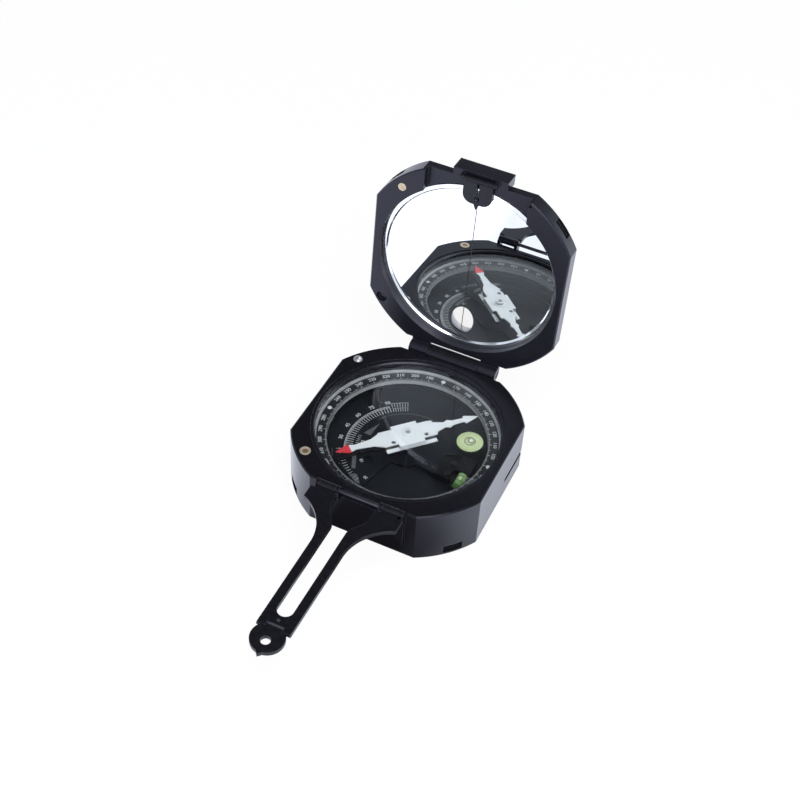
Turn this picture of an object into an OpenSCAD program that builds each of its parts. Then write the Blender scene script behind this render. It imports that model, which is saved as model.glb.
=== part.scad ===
// Pocket transit: a folding hand compass with a mirror lid, a slotted sight arm and a clinometer.
// Millimetres. The origin lies on the needle's axis, on the underside of the case.
// +Z is up, +Y points to the lid's hinge and -Y along the unfolded sight arm.

/* [Case] */
// Width of the case between its two side flats
case_w = 65; // [60:0.5:72]
// Length of the case between its front and rear flats
case_l = 65; // [60:0.5:72]
// How far the rounded corners lie inside the square corners that the flats would make
corner_cut = 8.86; // [6:0.01:9.4]
// Height of the case
case_h = 19.5; // [19:0.5:24]
// Bevel on the outer edges of the case and the lid
edge_c = 0.4; // [0.2:0.1:0.8]
// Thickness of the case floor at the clinometer's bush
web_t = 2.2; // [1.6:0.1:2.6]
// Depth of the round recess under the case that hides the clinometer lever
lever_recess_d = 2.6; // [2.4:0.1:3.2]
// Radius of that recess
lever_recess_r = 10; // [9:0.5:14]
// Width of the seat under the dial plate
plate_seat_w = 1.9; // [1.6:0.1:3]
// Height of the side slots above the underside
slot_z = 7; // [5:0.5:9]
// Height of the opening of a side slot
slot_t = 1.6; // [0.8:0.1:2]
// Depth of a side slot
slot_d = 1.8; // [0.8:0.1:2.2]
// Length of a side slot
slot_l = 14; // [10:1:18]
// Width of a finger notch in the outer corners
notch_w = 6.4; // [4:0.2:9]
// Height of a finger notch
notch_h = 3; // [1:0.1:4]
// Depth of a finger notch
notch_d = 1.2; // [0.5:0.1:1.4]
// Height of the case's finger notches above the underside
notch_up = 1; // [0.6:0.1:2]

/* [Dial] */
// Depth of the dial plate's top face below the top of the case
dial_depth = 11.5; // [11:0.1:12]
// Thickness of the dial plate
dial_t = 0.8; // [0.6:0.1:1.2]
// Width of the seat under the graduated ring
ring_seat_w = 1.5; // [1.2:0.1:1.8]
// Width of the graduated ring
ring_w = 4.2; // [3.8:0.1:4.6]
// Depth of the graduated ring's seat below the top of the case
ring_depth = 6.9; // [6.6:0.1:7]
// Thickness of the graduated ring
ring_t = 1.7; // [1.2:0.1:2]
// Height of the raised outer lip of the graduated ring
ring_lip_h = 0.7; // [0.4:0.1:0.9]
// Number of teeth on the declination pinion
pinion_teeth = 10; // [9:1:12]
// Radius of the declination pinion
pinion_r = 2; // [1.8:0.05:2.1]

/* [Glass] */
// Width of the case's rim between a flat and the bezel ring
rim_w = 1.8; // [1.4:0.1:2.2]
// Width of the bezel ring
bezel_w = 1.4; // [1:0.1:1.8]
// Width of the seat under the dial glass
glass_seat_w = 0.9; // [0.8:0.1:1.2]
// Height of the bezel ring
bezel_t = 0.8; // [0.6:0.1:1]
// Thickness of the dial glass
glass_t = 1.4; // [1:0.1:1.6]
// Thickness of the gasket under the dial glass
gasket_t = 0.4; // [0.3:0.1:0.6]
// Depth of the bezel ring below the top of the case
bezel_drop = 0.3; // [0.1:0.1:0.5]

/* [Needle] */
// Gap between the needle's tips and the graduated ring
needle_tip_gap = 1.4; // [0.8:0.1:2.4]
// Thickness of the needle's sheet metal
needle_t = 0.4; // [0.3:0.1:0.5]
// Gap between the needle's top face and the dial glass
needle_drop = 1.2; // [1:0.05:1.4]
// Direction of the needle's red end, from +X towards +Y
needle_dir = 226.4; // [0:0.1:360]
// Length of the needle's magnet
magnet_l = 16.6; // [12:0.2:17]
// Width of the needle's magnet
magnet_w = 5.6; // [4:0.2:6]
// Depth of the needle's magnet
magnet_t = 1.3; // [1:0.1:1.4]
// Radius of the pivot pin
pivot_r = 0.6; // [0.4:0.1:0.8]

/* [Clinometer] */
// Radius of the clinometer's shaft
shaft_r = 2; // [1.5:0.1:2.4]
// Radius of the dark hub disc under the needle
hub_r = 7.4; // [6:0.2:9]
// Thickness of the clinometer's arm plate
vernier_t = 0.6; // [0.4:0.1:0.8]
// Outer radius of the vernier plate
vernier_r = 22.5; // [20:0.1:24]
// Angle that the vernier plate spans
vernier_span = 46; // [30:1:60]
// Direction of the vernier plate, from +X towards +Y
vernier_dir = 232; // [0:1:360]
// Radius of the tubular level
vial_r = 1.6; // [1.4:0.05:1.7]
// Length of the tubular level
vial_l = 10.6; // [9.6:0.2:12]
// Distance of the tubular level inside the graduated ring
vial_in = 4.3; // [4:0.1:6]
// Direction of the tubular level, from +X towards +Y
vial_dir = -9; // [-40:1:0]
// Turn of the tubular level on its seat, away from square to the clinometer's arm
vial_turn = 10; // [0:1:14]
// Length of the level housing's foot, towards the needle's axis
level_tab_l = 6.2; // [3.4:0.1:6.6]
// Width of that foot
level_tab_w = 8; // [7:0.1:8.2]
// Thickness of that foot
level_tab_t = 1.9; // [0.8:0.1:2]
// Length of the lever under the case
lever_l = 8.2; // [6:0.2:9]
// Width of the lever under the case
lever_w = 4; // [3:0.2:5]

/* [Round level] */
// Radius of the round level's cup
bull_r = 4.9; // [4.7:0.1:5]
// Radius of the round level's vial
bull_vial_r = 4.3; // [3.4:0.1:4.4]
// Height of the round level's cup
bull_h = 2.1; // [1.6:0.1:2.4]
// Gap between the round level and the graduated ring
bull_gap = 0.6; // [0.4:0.1:1.6]
// Direction of the round level, from +X towards +Y
bull_dir = 29; // [28:1:60]

/* [Needle lifter] */
// Distance of the lift pin inside the rounded corner
pin_in = 3.2; // [3.1:0.05:3.5]
// Direction of the lift pin, from +X towards +Y
lift_dir = 225; // [222:1:228]
// Radius of the lift pin
lift_pin_r = 0.9; // [0.7:0.1:1]
// Outer radius of the lift pin's bush
lift_bush_r = 1.75; // [1.7:0.05:2]
// Distance of the lift lever's pivot inside the edge of the dial plate
lift_pivot_in = 1; // [0.9:0.05:1.1]
// Width of the lift lever
lift_w = 1.8; // [1.4:0.1:2]
// Outer radius of the lift lever's ring round the pivot pin
lift_ring_r = 3.4; // [2.6:0.1:4]
// Direction of the brake button, from +X towards +Y
brake_dir = 144; // [140:1:148]
// Distance of the brake button inside the rounded corner
brake_in = 2.7; // [2.5:0.05:3]
// Radius of the brake button
brake_r = 1.5; // [1.2:0.1:1.7]
// Height of the brake button's dome above the case
brake_dome = 0.8; // [0.5:0.1:1]

/* [Lid] */
// Angle by which the lid stands open in the rest pose
lid_open = 94; // [0:1:135]
// Depth of the lid
lid_h = 8; // [7.4:0.1:10]
// Bevel on the outer back edge of the lid
lid_bevel = 2.5; // [1:0.1:3]
// Gap between the closed lid and the case
lid_gap = 0.3; // [0.2:0.1:0.6]
// Width of the lid's rim between a flat and its round opening
lid_rim_w = 2.3; // [2:0.1:2.8]
// Depth of the mirror's face below the lid's rim
mirror_d = 3; // [2.8:0.1:3.2]
// Thickness of the mirror
mirror_t = 2; // [1.4:0.1:2.2]
// Width of the bright ring that holds the mirror
mirror_ring_w = 1.8; // [1:0.1:2.4]
// Thickness of the ring that holds the mirror
mirror_ring_t = 0.6; // [0.4:0.1:0.7]
// Radius of the sighting window
window_r = 3.8; // [3:0.1:4.5]
// Length of the oval sighting window
window_l = 10.2; // [8:0.1:11]
// Distance of the sighting window's centre inside the lid's round opening
window_in = 9.4; // [9:0.1:13]
// Depth of the lid's hinge axis below the top of the case
hinge_drop = 0.5; // [0.4:0.1:0.9]
// Distance of the hinge axis behind the rear flat
hinge_out = 2.7; // [2.6:0.1:3.2]
// Radius of the lid hinge's knuckles
knuckle_r = 2.2; // [1.8:0.1:2.3]
// Radius of the lid hinge's pin
hinge_pin_r = 0.9; // [0.7:0.1:1.1]
// Length of the middle knuckle
mid_knuckle_l = 18; // [14:0.5:22]
// Radius of the middle knuckle, which fills the gap under the open lid
mid_knuckle_r = 2.65; // [2.2:0.05:2.7]
// Length of each outer knuckle
end_knuckle_l = 6.4; // [4:0.2:8]
// Width of the step in the rim that clears the sight arm's hinge
channel_w = 34; // [32.6:0.2:35]
// Depth of the step in the rim
channel_d = 2.7; // [2.6:0.1:2.8]

/* [Front sight] */
// Width of the front sight
sight_w = 9.6; // [8:0.2:10]
// Length of the front sight from its pin to the shoulders
sight_l = 8.4; // [7:0.2:9]
// Thickness of the front sight
sight_t = 0.6; // [0.4:0.1:0.6]
// Radius of the front sight's knuckle
sight_knuckle_r = 0.85; // [0.7:0.05:0.85]
// Radius of the front sight's hole
sight_hole_r = 0.95; // [0.8:0.05:1.3]
// Radius of the front sight's rounded corners
sight_round = 3.2; // [2:0.1:3.6]
// Width of the front sight's hinge block
block_w = 18; // [14:0.5:20]
// Length by which that block stands out of the lid's end
block_out = 2.4; // [2:0.1:3]
// Height by which that block stands above the lid's back
block_up = 0.5; // [0:0.1:1]

/* [Sight arm] */
// Thickness of the sight arm
arm_t = 1.4; // [1:0.1:1.5]
// Width of the sight arm's rails, measured over both
arm_w = 10.6; // [9:0.2:13]
// Width of the sight arm's root
root_w = 30.4; // [29.6:0.2:31]
// Length of the sight arm from its hinge to the peep sight's hinge
arm_l = 52.9; // [46:0.1:53.2]
// Width of the long slot
arm_slot_w = 5; // [3:0.2:6]
// Distance from the arm's hinge to the start of the long slot
slot_start = 14.1; // [12:0.1:18]
// Distance from the end of the long slot to the peep sight's hinge
slot_stop = 4.2; // [3.8:0.1:8]
// Length of the wide opening between the arm's legs, from the hinge's axis
mouth_l = 6.4; // [5:0.1:8]
// How far the low ridge between the arm's lugs stands out from the front flat
ridge_out = 0.5; // [0.4:0.1:0.8]
// Height of that ridge above the case's floor
ridge_z = 15.8; // [15:0.1:16.5]
// Radius of the curve that blends the root into the rails
root_curve_r = 16; // [8:1:18]
// Distance of the arm's hinge axis in front of the front flat
arm_hinge_out = 1.8; // [1.7:0.1:2.2]
// Height of the arm's hinge axis above the top of the case
arm_hinge_up = 0.9; // [0.85:0.05:1]
// Radius of the arm hinge's knuckles
arm_knuckle_r = 1.4; // [1.1:0.1:1.5]
// Radius of the arm hinge's pins
arm_pin_r = 0.6; // [0.4:0.1:0.8]
// Length of each arm knuckle
arm_knuckle_l = 5.2; // [4:0.1:5.6]
// Half width of the gap between the two arm knuckles
arm_gap = 7.9; // [7.7:0.1:8.2]
// Radius of the peep sight's rounded leaf
peep_r = 5.1; // [4.6:0.1:5.3]
// Distance from the peep sight's hinge to the centre of its rounded leaf
peep_disc_at = 3.7; // [3.4:0.1:4.4]
// Distance of the peep hole from the peep sight's hinge
peep_at = 4.8; // [4.4:0.1:5]
// Radius of the peep hole
peep_hole_r = 1.5; // [1:0.1:2.2]

/* [Hidden] */

// Clearances shared by the fits
run_fit = 0.05;
press_fit = 0.02;
gap = 0.1;
embed = 0.3;
big = 200;

// Places worked out from the driving dimensions
corner_r = sqrt(case_w * case_w + case_l * case_l) / 2 - corner_cut;
half_w = min(case_w, case_l) / 2;
bezel_r = half_w - rim_w;
bezel_in_r = bezel_r - bezel_w;
ring_r = bezel_r - glass_seat_w;
ring_in_r = ring_r - ring_w;
dial_r = ring_r - ring_seat_w;
well_r = dial_r - plate_seat_w;
lid_bore_r = half_w - lid_rim_w;
window_at = lid_bore_r - window_in;
needle_l = 2 * (ring_in_r - needle_tip_gap);
vial_at = ring_in_r - vial_in;
bull_at = ring_in_r - bull_r - bull_gap;
pin_at = corner_r - pin_in;
brake_at = corner_r - brake_in;
lift_pivot_at = dial_r - lift_pivot_in;
hinge_z = case_h - hinge_drop;
dial_z = case_h - dial_depth;
ring_z = case_h - ring_depth;
bezel_z = case_h - bezel_drop - bezel_t;
glass_z = bezel_z - glass_t;
seat_z = glass_z - gasket_t;
ring_top = ring_z + ring_t;
plate_z = dial_z - dial_t;
web_z = lever_recess_d;
floor_z = web_z + web_t;
cavity_r = dial_r + gap;
ring_bore_r = ring_r + run_fit;
seat_r = bezel_r + run_fit;
tooth_h = 0.5;
crown_out_r = cavity_r - gap;
crown_in_r = crown_out_r - 1.6;
crown_r = (crown_out_r + crown_in_r) / 2;
ring_teeth = round(pinion_teeth * crown_r / pinion_r);
pinion_z = ring_z - pinion_r - gap;
hinge_y = case_l / 2 + hinge_out;
lid_z = case_h + lid_gap;
arm_y = -case_l / 2 - arm_hinge_out;
arm_z = case_h + arm_hinge_up;
lug_t = 1.2;
rest_t = 0.9;
rest_w = 1.7;
rib_l = 13.8;
rib_bend = 9;
screw_r = 0.6;
screw_l = 2.2;
screw_head_r = 0.95;
screw_head_t = 0.6;
lug_gap = 0.15;
arm_lug_in = arm_gap - lug_gap - lug_t;
arm_lug_out = arm_gap + arm_knuckle_l + lug_gap;
hub_z = dial_z + 0.2;
hub_t = 0.6;
vernier_z = hub_z + hub_t;
level_wall = 0.4;
vial_z = hub_z + level_wall + vial_r;
housing_w = 2 * vial_r + 4 * level_wall;
housing_l = vial_l + 4 * level_wall;
housing_top = vial_z + vial_r + level_wall - 0.1;
bull_z = vernier_z + vernier_t;
lift_z = housing_top + 0.25;
lift_t = 0.6;
lift_low_z = ring_z - 2.2;
lift_low_t = 0.9;
lift_spring_z = lift_low_z - 2;
needle_z = glass_z - needle_drop;
needle_low = needle_z - needle_t;
magnet_z = needle_low - magnet_t;
cap_r = 1.5;
cap_top = glass_z - 0.4;
cap_low = magnet_z - 0.1;
pivot_top = cap_top - 0.5;
lift_pin_top = case_h - 0.05;
lift_pin_low = lift_low_z + lift_low_t + 0.05;
brake_top = case_h + brake_dome;
brake_low = case_h - 6;
brake_hole_z = case_h - 10;
sight_face_d = arm_z + arm_t / 2 + 0.25 - lid_z;
sight_pin_d = channel_d - sight_knuckle_r - gap;
sight_pin_y = case_l / 2 + 0.7;
sight_pin_r = 0.45;
sight_lug_t = 1.1;
peep_y = arm_y - arm_l;
peep_knuckle_r = arm_t / 2;
peep_pin_r = 0.35;
peep_knuckle_w = 5.2;
notch_dirs = [42, 138, 222, 318];

// Outline of the case and the lid: a round plate cut by four flats
module outline(r, w, l) {
  intersection() {
    circle(r = r, $fn = 96);
    square([w, l], center = true);
  }
}

// Bar with bevelled long edges, drawn as its section
module bevel_section(half, z0, z1, low_c, top_c) {
  polygon([[-half + low_c, z0], [half - low_c, z0], [half, z0 + low_c], [half, z1 - top_c],
    [half - top_c, z1], [-half + top_c, z1], [-half, z1 - top_c], [-half, z0 + low_c]]);
}

// Shell blank with bevelled edges all round
module bevelled_blank(z0, z1, low_c, top_c) {
  intersection() {
    rotate_extrude($fn = 96)
      polygon([[0, z0], [corner_r - low_c, z0], [corner_r, z0 + low_c], [corner_r, z1 - top_c],
        [corner_r - top_c, z1], [0, z1]]);
    translate([0, case_l, 0])
      rotate([90, 0, 0])
        linear_extrude(2 * case_l)
          bevel_section(case_w / 2, z0, z1, low_c, top_c);
    translate([-case_w, 0, 0])
      rotate([90, 0, 90])
        linear_extrude(2 * case_w)
          bevel_section(case_l / 2, z0, z1, low_c, top_c);
  }
}

// Ring or tube between two radii, standing on a height
module tube(r_out, r_in, z0, h) {
  translate([0, 0, z0])
    difference() {
      cylinder(r = r_out, h = h, $fn = 96);
      translate([0, 0, -embed])
        cylinder(r = r_in, h = h + 2 * embed, $fn = 96);
    }
}

// Rod along X with its middle at x
module rod_x(r, len, x) {
  translate([x - len / 2, 0, 0])
    rotate([0, 90, 0])
      cylinder(r = r, h = len, $fn = 48);
}

// Finger notches in the corners, from a height upwards
module finger_notches(z0) {
  for (a = notch_dirs)
    rotate([0, 0, a])
      translate([corner_r - notch_d, -notch_w / 2, z0])
        cube([notch_d * 3, notch_w, notch_h]);
}

// Case

module case_lid_knuckle() {
  translate([0, hinge_y, hinge_z])
    rod_x(mid_knuckle_r, mid_knuckle_l, 0);
  translate([-mid_knuckle_l / 2, case_l / 2 - embed, hinge_z - knuckle_r])
    cube([mid_knuckle_l, hinge_out + embed, knuckle_r]);
}

module case_arm_lug(x) {
  translate([x, arm_y, arm_z])
    rod_x(arm_knuckle_r, lug_t, lug_t / 2);
  translate([x, arm_y - arm_knuckle_r, arm_z - 3.4])
    cube([lug_t, arm_knuckle_r + arm_hinge_out - gap / 2, 3.4]);
  translate([x, arm_y - arm_knuckle_r, arm_z - 3.4])
    cube([lug_t, arm_knuckle_r + arm_hinge_out + embed, 3.4 - arm_hinge_up - edge_c - gap]);
}

// Rest under the unfolded arm, with its tapering rib down the front flat
module case_arm_rest() {
  rest_top = arm_z - arm_t / 2 - gap;
  rest_x = arm_lug_out + lug_t;
  foot_y = arm_y - arm_knuckle_r - gap;
  translate([rest_x - 3.4, foot_y - rest_w, rest_top - rest_t])
    cube([3.4, rest_w, rest_t]);
  translate([rest_x - lug_t, foot_y - rest_w, rest_top - rest_t])
    cube([lug_t, rest_w + arm_hinge_out + arm_knuckle_r, rest_t]);
  translate([0, -case_l / 2 + embed, 0])
    rotate([90, 0, 0])
      linear_extrude(1.5 + embed)
        polygon([[rest_x, rest_top - rest_t], [rest_x, case_h - rib_l], [rest_x - 3, case_h - rib_bend],
          [rest_x - lug_t, rest_top - rest_t]]);
}

// Low ridge across the front flat, from one inner lug to the other
module case_front_ridge() {
  translate([-arm_lug_in - embed, -case_l / 2 - ridge_out, ridge_z])
    cube([2 * (arm_lug_in + embed), ridge_out + embed, ridge_out]);
}

module case_hollow() {
  translate([0, 0, floor_z])
    cylinder(r = well_r, h = big, $fn = 96);
  translate([0, 0, plate_z])
    cylinder(r = cavity_r, h = big, $fn = 96);
  translate([0, 0, ring_z])
    cylinder(r = ring_bore_r, h = big, $fn = 96);
  translate([0, 0, seat_z])
    cylinder(r = seat_r, h = big, $fn = 96);
  translate([0, 0, -embed])
    cylinder(r = lever_recess_r, h = lever_recess_d + embed, $fn = 64);
  cylinder(r = bush_r(), h = floor_z + embed, $fn = 64);
}

// Pockets for the needle lifter and the brake button
module case_pockets() {
  rotate([0, 0, lift_dir]) {
    translate([pin_at, 0, lift_spring_z])
      cylinder(r = lift_pin_r + gap, h = big, $fn = 48);
    translate([pin_at, 0, case_h - bush_l()])
      cylinder(r = lift_bush_r + press_fit, h = big, $fn = 48);
    translate([cavity_r - embed, -lift_w / 2 - 0.5, lift_low_z - 0.8])
      cube([pin_at + 1.6 - cavity_r + embed, lift_w + 1, lift_low_t + 1.4]);
  }
  rotate([0, 0, brake_dir])
    translate([brake_at, 0, brake_hole_z])
      cylinder(r = brake_r + run_fit, h = big, $fn = 48);
}

module side_slot(side) {
  translate([side > 0 ? case_w / 2 - slot_d : -case_w / 2 - 1, flat_end() - slot_l, slot_z - slot_t / 2])
    cube([slot_d + 1, slot_l + 3, slot_t]);
}

function bush_r() = shaft_r + 1;
function bush_l() = 4;
function flat_end() = sqrt(corner_r * corner_r - case_w * case_w / 4);
function screw_dirs() = [60, 155, 290];
function screw_at() = (well_r + cavity_r) / 2;

module case_body() {
  color([0.05, 0.05, 0.06])
    difference() {
      union() {
        bevelled_blank(0, case_h, edge_c, edge_c);
        case_lid_knuckle();
        for (x = [arm_lug_in, arm_lug_out, -arm_lug_in - lug_t, -arm_lug_out - lug_t])
          case_arm_lug(x);
        case_arm_rest();
        mirror([1, 0, 0])
          case_arm_rest();
        case_front_ridge();
      }
      case_hollow();
      case_pockets();
      finger_notches(notch_up);
      side_slot(1);
      side_slot(-1);
      translate([0, hinge_y, hinge_z])
        rod_x(hinge_pin_r + press_fit, mid_knuckle_l + 2, 0);
      translate([0, arm_y, arm_z])
        rod_x(arm_pin_r + press_fit, case_w, 0);
      translate([-case_w / 2, 0, pinion_z])
        rod_x(pinion_shaft_r() + run_fit, 2 * (case_w / 2 - crown_in_r), 0);
      for (a = screw_dirs())
        rotate([0, 0, a])
          translate([screw_at(), 0, plate_z - screw_l - gap])
            cylinder(r = screw_r, h = screw_l + 1, $fn = 32);
    }
}

// Dial

module clinometer_bush() {
  color([0.85, 0.7, 0.4]) {
    tube(bush_r() - press_fit, shaft_r + run_fit, web_z, web_t);
    tube(bush_r() + 1.2, shaft_r + run_fit, floor_z, 0.5);
  }
}

function dial_hole_r() = 4.4;

module dial_plate() {
  color([0.06, 0.07, 0.09])
    difference() {
      tube(dial_r, dial_hole_r(), plate_z, dial_t);
      for (a = screw_dirs())
        rotate([0, 0, a])
          translate([screw_at(), 0, plate_z - 1])
            cylinder(r = screw_r + gap, h = dial_t + 2, $fn = 32);
    }
}

module dial_screws() {
  color([0.6, 0.6, 0.62])
    for (a = screw_dirs())
      rotate([0, 0, a])
        translate([screw_at(), 0, 0]) {
          translate([0, 0, plate_z - screw_l])
            cylinder(r = screw_r - press_fit, h = dial_t + screw_l, $fn = 32);
          difference() {
            translate([0, 0, dial_z])
              cylinder(r = screw_head_r, h = screw_head_t, $fn = 32);
            translate([-screw_head_r - 1, -screw_head_r / 6, dial_z + screw_head_t / 2])
              cube([2 * screw_head_r + 2, screw_head_r / 3, screw_head_t]);
          }
        }
}

module graduated_ring() {
  color([0.08, 0.08, 0.1]) {
    tube(ring_r, ring_in_r, ring_z, ring_t);
    tube(ring_r, ring_r - 0.8, ring_top, ring_lip_h);
    crown_teeth();
  }
}

// Crown teeth on the underside of the ring
module crown_teeth() {
  pitch = 360 / ring_teeth;
  for (i = [0 : ring_teeth - 1])
    rotate([0, 0, 180 + (i + 0.5) * pitch])
      translate([crown_in_r, -crown_tooth_w() / 2, ring_z - tooth_h])
        cube([crown_out_r - crown_in_r, crown_tooth_w(), tooth_h + 0.1]);
}

function crown_tooth_w() = PI * crown_in_r / ring_teeth * 0.8;
function pinion_shaft_r() = 1;
function pinion_body_r() = pinion_r - 0.5;

// Pinion on the left side, turned by a screwdriver slot in its outer end
module declination_pinion() {
  outer_x = case_w / 2 - 0.3;
  color([0.75, 0.75, 0.78])
    translate([0, 0, pinion_z])
      difference() {
        union() {
          rod_x(pinion_shaft_r(), outer_x - crown_out_r + 0.2, -(outer_x + crown_out_r - 0.2) / 2);
          rod_x(pinion_body_r(), crown_out_r - crown_in_r - 0.2, -(crown_out_r + crown_in_r) / 2);
          for (i = [0 : pinion_teeth - 1])
            rotate([i * 360 / pinion_teeth, 0, 0])
              translate([-crown_out_r + 0.1, -0.2, 0])
                cube([crown_out_r - crown_in_r - 0.2, 0.4, pinion_r]);
        }
        translate([-outer_x - 1, -0.2, -2])
          cube([1.6, 0.4, 4]);
      }
}

// Levels

module at_round_level() {
  rotate([0, 0, bull_dir])
    translate([bull_at, 0, 0])
      children();
}

module round_level_cup() {
  color([0.1, 0.1, 0.11])
    at_round_level() {
      tube(bull_r, bull_vial_r + press_fit, bull_z, bull_h);
      translate([0, 0, bull_z])
        cylinder(r = bull_r, h = 0.4, $fn = 64);
    }
}

module round_level_vial() {
  color([0.8, 0.9, 0.6])
    at_round_level()
      translate([0, 0, bull_z + 0.42])
        cylinder(r = bull_vial_r, h = bull_h - 0.32, $fn = 64);
}

// Clinometer

module clinometer_shaft() {
  color([0.12, 0.12, 0.13])
    difference() {
      union() {
        translate([0, 0, lever_z() + lever_t()])
          cylinder(r = shaft_r, h = hub_z - lever_z() - lever_t(), $fn = 64);
        translate([0, 0, floor_z + 0.9])
          cylinder(r = dial_hole_r() - 0.3, h = hub_z - floor_z - 0.9, $fn = 64);
        translate([0, 0, hub_z])
          cylinder(r = hub_r, h = hub_t, $fn = 96);
      }
      translate([0, 0, lever_z()])
        cylinder(r = 0.7, h = 3.4, $fn = 32);
      translate([0, 0, hub_z - 2])
        cylinder(r = pivot_r + press_fit, h = 4, $fn = 32);
    }
}

function lever_z() = 0.8;
function lever_t() = 1.2;

// Sector-shaped plate that reads the grade scale, with the arms that carry both levels
module vernier_plate() {
  color([0.07, 0.08, 0.1])
    translate([0, 0, vernier_z])
      difference() {
        union() {
          cylinder(r = hub_r, h = vernier_t, $fn = 96);
          linear_extrude(vernier_t)
            sector(vernier_r, vernier_dir, vernier_span);
          rotate([0, 0, vial_dir])
            translate([0, -4.2, 0])
              cube([vial_at - housing_w / 2 + 1, 8.4, vernier_t]);
          rotate([0, 0, bull_dir])
            translate([0, -3.6, 0])
              cube([bull_at, 7.2, vernier_t]);
          at_round_level()
            cylinder(r = bull_r, h = vernier_t, $fn = 64);
        }
        at_tube_level()
          translate([-housing_w / 2 - gap, -housing_l / 2 - gap, -1])
            cube([housing_w + 3, housing_l + 2 * gap, 3]);
        translate([0, 0, -1])
          cylinder(r = pivot_r + 1.4, h = 3, $fn = 48);
        rotate([0, 0, vernier_dir])
          translate([vernier_r * 0.62, 0, -1])
            cylinder(r = 2.2, h = 3, $fn = 48);
      }
}

module sector(r, dir, span) {
  intersection() {
    circle(r = r, $fn = 96);
    rotate(dir)
      polygon([[0, 0], [2 * r * cos(span / 2), -2 * r * sin(span / 2)],
        [2 * r * cos(span / 2), 2 * r * sin(span / 2)]]);
  }
}

module at_tube_level() {
  rotate([0, 0, vial_dir])
    translate([vial_at, 0, 0])
      rotate([0, 0, vial_turn])
        children();
}

module level_housing() {
  color([0.04, 0.04, 0.05])
    at_tube_level()
      difference() {
        union() {
          translate([-housing_w / 2, -housing_l / 2, hub_z])
            cube([housing_w, housing_l, housing_top - hub_z]);
          translate([-housing_w / 2 - level_tab_l, -level_tab_w / 2, vernier_z + vernier_t])
            cube([level_tab_l + 0.1, level_tab_w, level_tab_t]);
        }
        translate([0, housing_l / 2 + 1, vial_z])
          rotate([90, 0, 0])
            cylinder(r = vial_r + press_fit, h = housing_l + 2, $fn = 48);
        translate([-housing_w / 2 - 1, -housing_l / 2 - 1, vial_z + 0.1])
          cube([housing_w + 2, housing_l * 0.46 + 1, 4]);
        for (y = [-2.4, 2.4])
          translate([-housing_w / 2 - 1.9, y, 0])
            cylinder(r = 0.45, h = big, $fn = 24);
      }
}

module level_screws() {
  color([0.6, 0.6, 0.62])
    at_tube_level()
      for (y = [-2.4, 2.4])
        translate([-housing_w / 2 - 1.9, y, vernier_z + vernier_t]) {
          cylinder(r = 0.42, h = level_tab_t, $fn = 24);
          translate([0, 0, level_tab_t])
            cylinder(r = 0.9, h = 0.45, $fn = 24);
        }
}

module tubular_level() {
  color([0.5, 0.75, 0.45])
    at_tube_level()
      translate([0, vial_l / 2, vial_z])
        rotate([90, 0, 0])
          cylinder(r = vial_r, h = vial_l, $fn = 48);
}

module friction_washer() {
  color([0.7, 0.7, 0.72])
    tube(bush_r() + 1, shaft_r + run_fit, floor_z + 0.52, 0.36);
}

module clinometer_lever() {
  color([0.7, 0.7, 0.72])
    rotate([0, 0, vial_dir])
      translate([0, 0, lever_z()])
        difference() {
          union() {
            cylinder(r = shaft_r + 1.2, h = lever_t(), $fn = 48);
            translate([0, -lever_w / 2, 0])
              cube([lever_l - lever_w / 2, lever_w, lever_t()]);
            translate([lever_l - lever_w / 2, 0, 0])
              cylinder(r = lever_w / 2, h = lever_t(), $fn = 48);
          }
          translate([0, 0, -1])
            cylinder(r = 0.75, h = 4, $fn = 32);
        }
}

module lever_screw() {
  color([0.6, 0.6, 0.62]) {
    translate([0, 0, lever_z()])
      cylinder(r = 0.68, h = 3.2, $fn = 32);
    difference() {
      translate([0, 0, lever_z() - 0.5])
        cylinder(r = 1.5, h = 0.5, $fn = 48);
      translate([-2, -0.2, lever_z() - 0.8])
        cube([4, 0.4, 0.5]);
    }
  }
}

module pivot_pin() {
  color([0.75, 0.75, 0.78]) {
    translate([0, 0, hub_z - 1.6])
      cylinder(r = pivot_r, h = pivot_top - 1 - hub_z + 1.6, $fn = 32);
    translate([0, 0, pivot_top - 1])
      cylinder(r1 = pivot_r, r2 = 0.08, h = 1, $fn = 32);
  }
}

// Needle

// Half outline of the needle: it is the same on both sides of its long axis
function needle_side(m) = [
  [-needle_l / 2, 0], [-needle_l / 2 + 4.2, m * 1.7], [-needle_l / 2 + 6.6, m * 0.9],
  [-12, m * 1.5], [-8.7, m * 3.1], [-4.3, m * 3.1], [-4.3, m * 4.5], [4.3, m * 4.5],
  [4.3, m * 3.1], [9, m * 3.1], [9.3, m * 2.1], [12.6, m * 1], [14, m * 1.6],
  [15.4, m * 0.9], [needle_l / 2 - 5.2, m * 0.7], [needle_l / 2 - 4.6, m * 1.6],
  [needle_l / 2, 0]];

function backwards(list) = [for (i = [len(list) - 1 : -1 : 0]) list[i]];

module at_needle() {
  rotate([0, 0, needle_dir + 180])
    children();
}

module needle_blade() {
  flange_l = 8.6;
  color([0.92, 0.94, 0.97])
    at_needle()
      difference() {
        union() {
          translate([0, 0, needle_low])
            linear_extrude(needle_t)
              polygon(concat(needle_side(1), backwards(needle_side(-1))));
          for (m = [-1, 1]) {
            translate([-flange_l / 2, m * 4.3 - 0.2, magnet_z - 0.2])
              cube([flange_l, 0.4, needle_low - magnet_z + 0.3]);
            for (s = [-1, 1])
              translate([s * 6.3 - 2.2, m * 3.9 - 0.7, magnet_z - 0.2])
                cube([4.4, 1.4, 0.4]);
          }
        }
        translate([0, 0, needle_low - 1])
          cylinder(r = cap_r + press_fit, h = 3, $fn = 48);
        for (s = [-1, 1])
          translate([s * 5.6, -2, needle_low - 1])
            cylinder(r = 0.7, h = 3, $fn = 24);
      }
}

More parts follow.
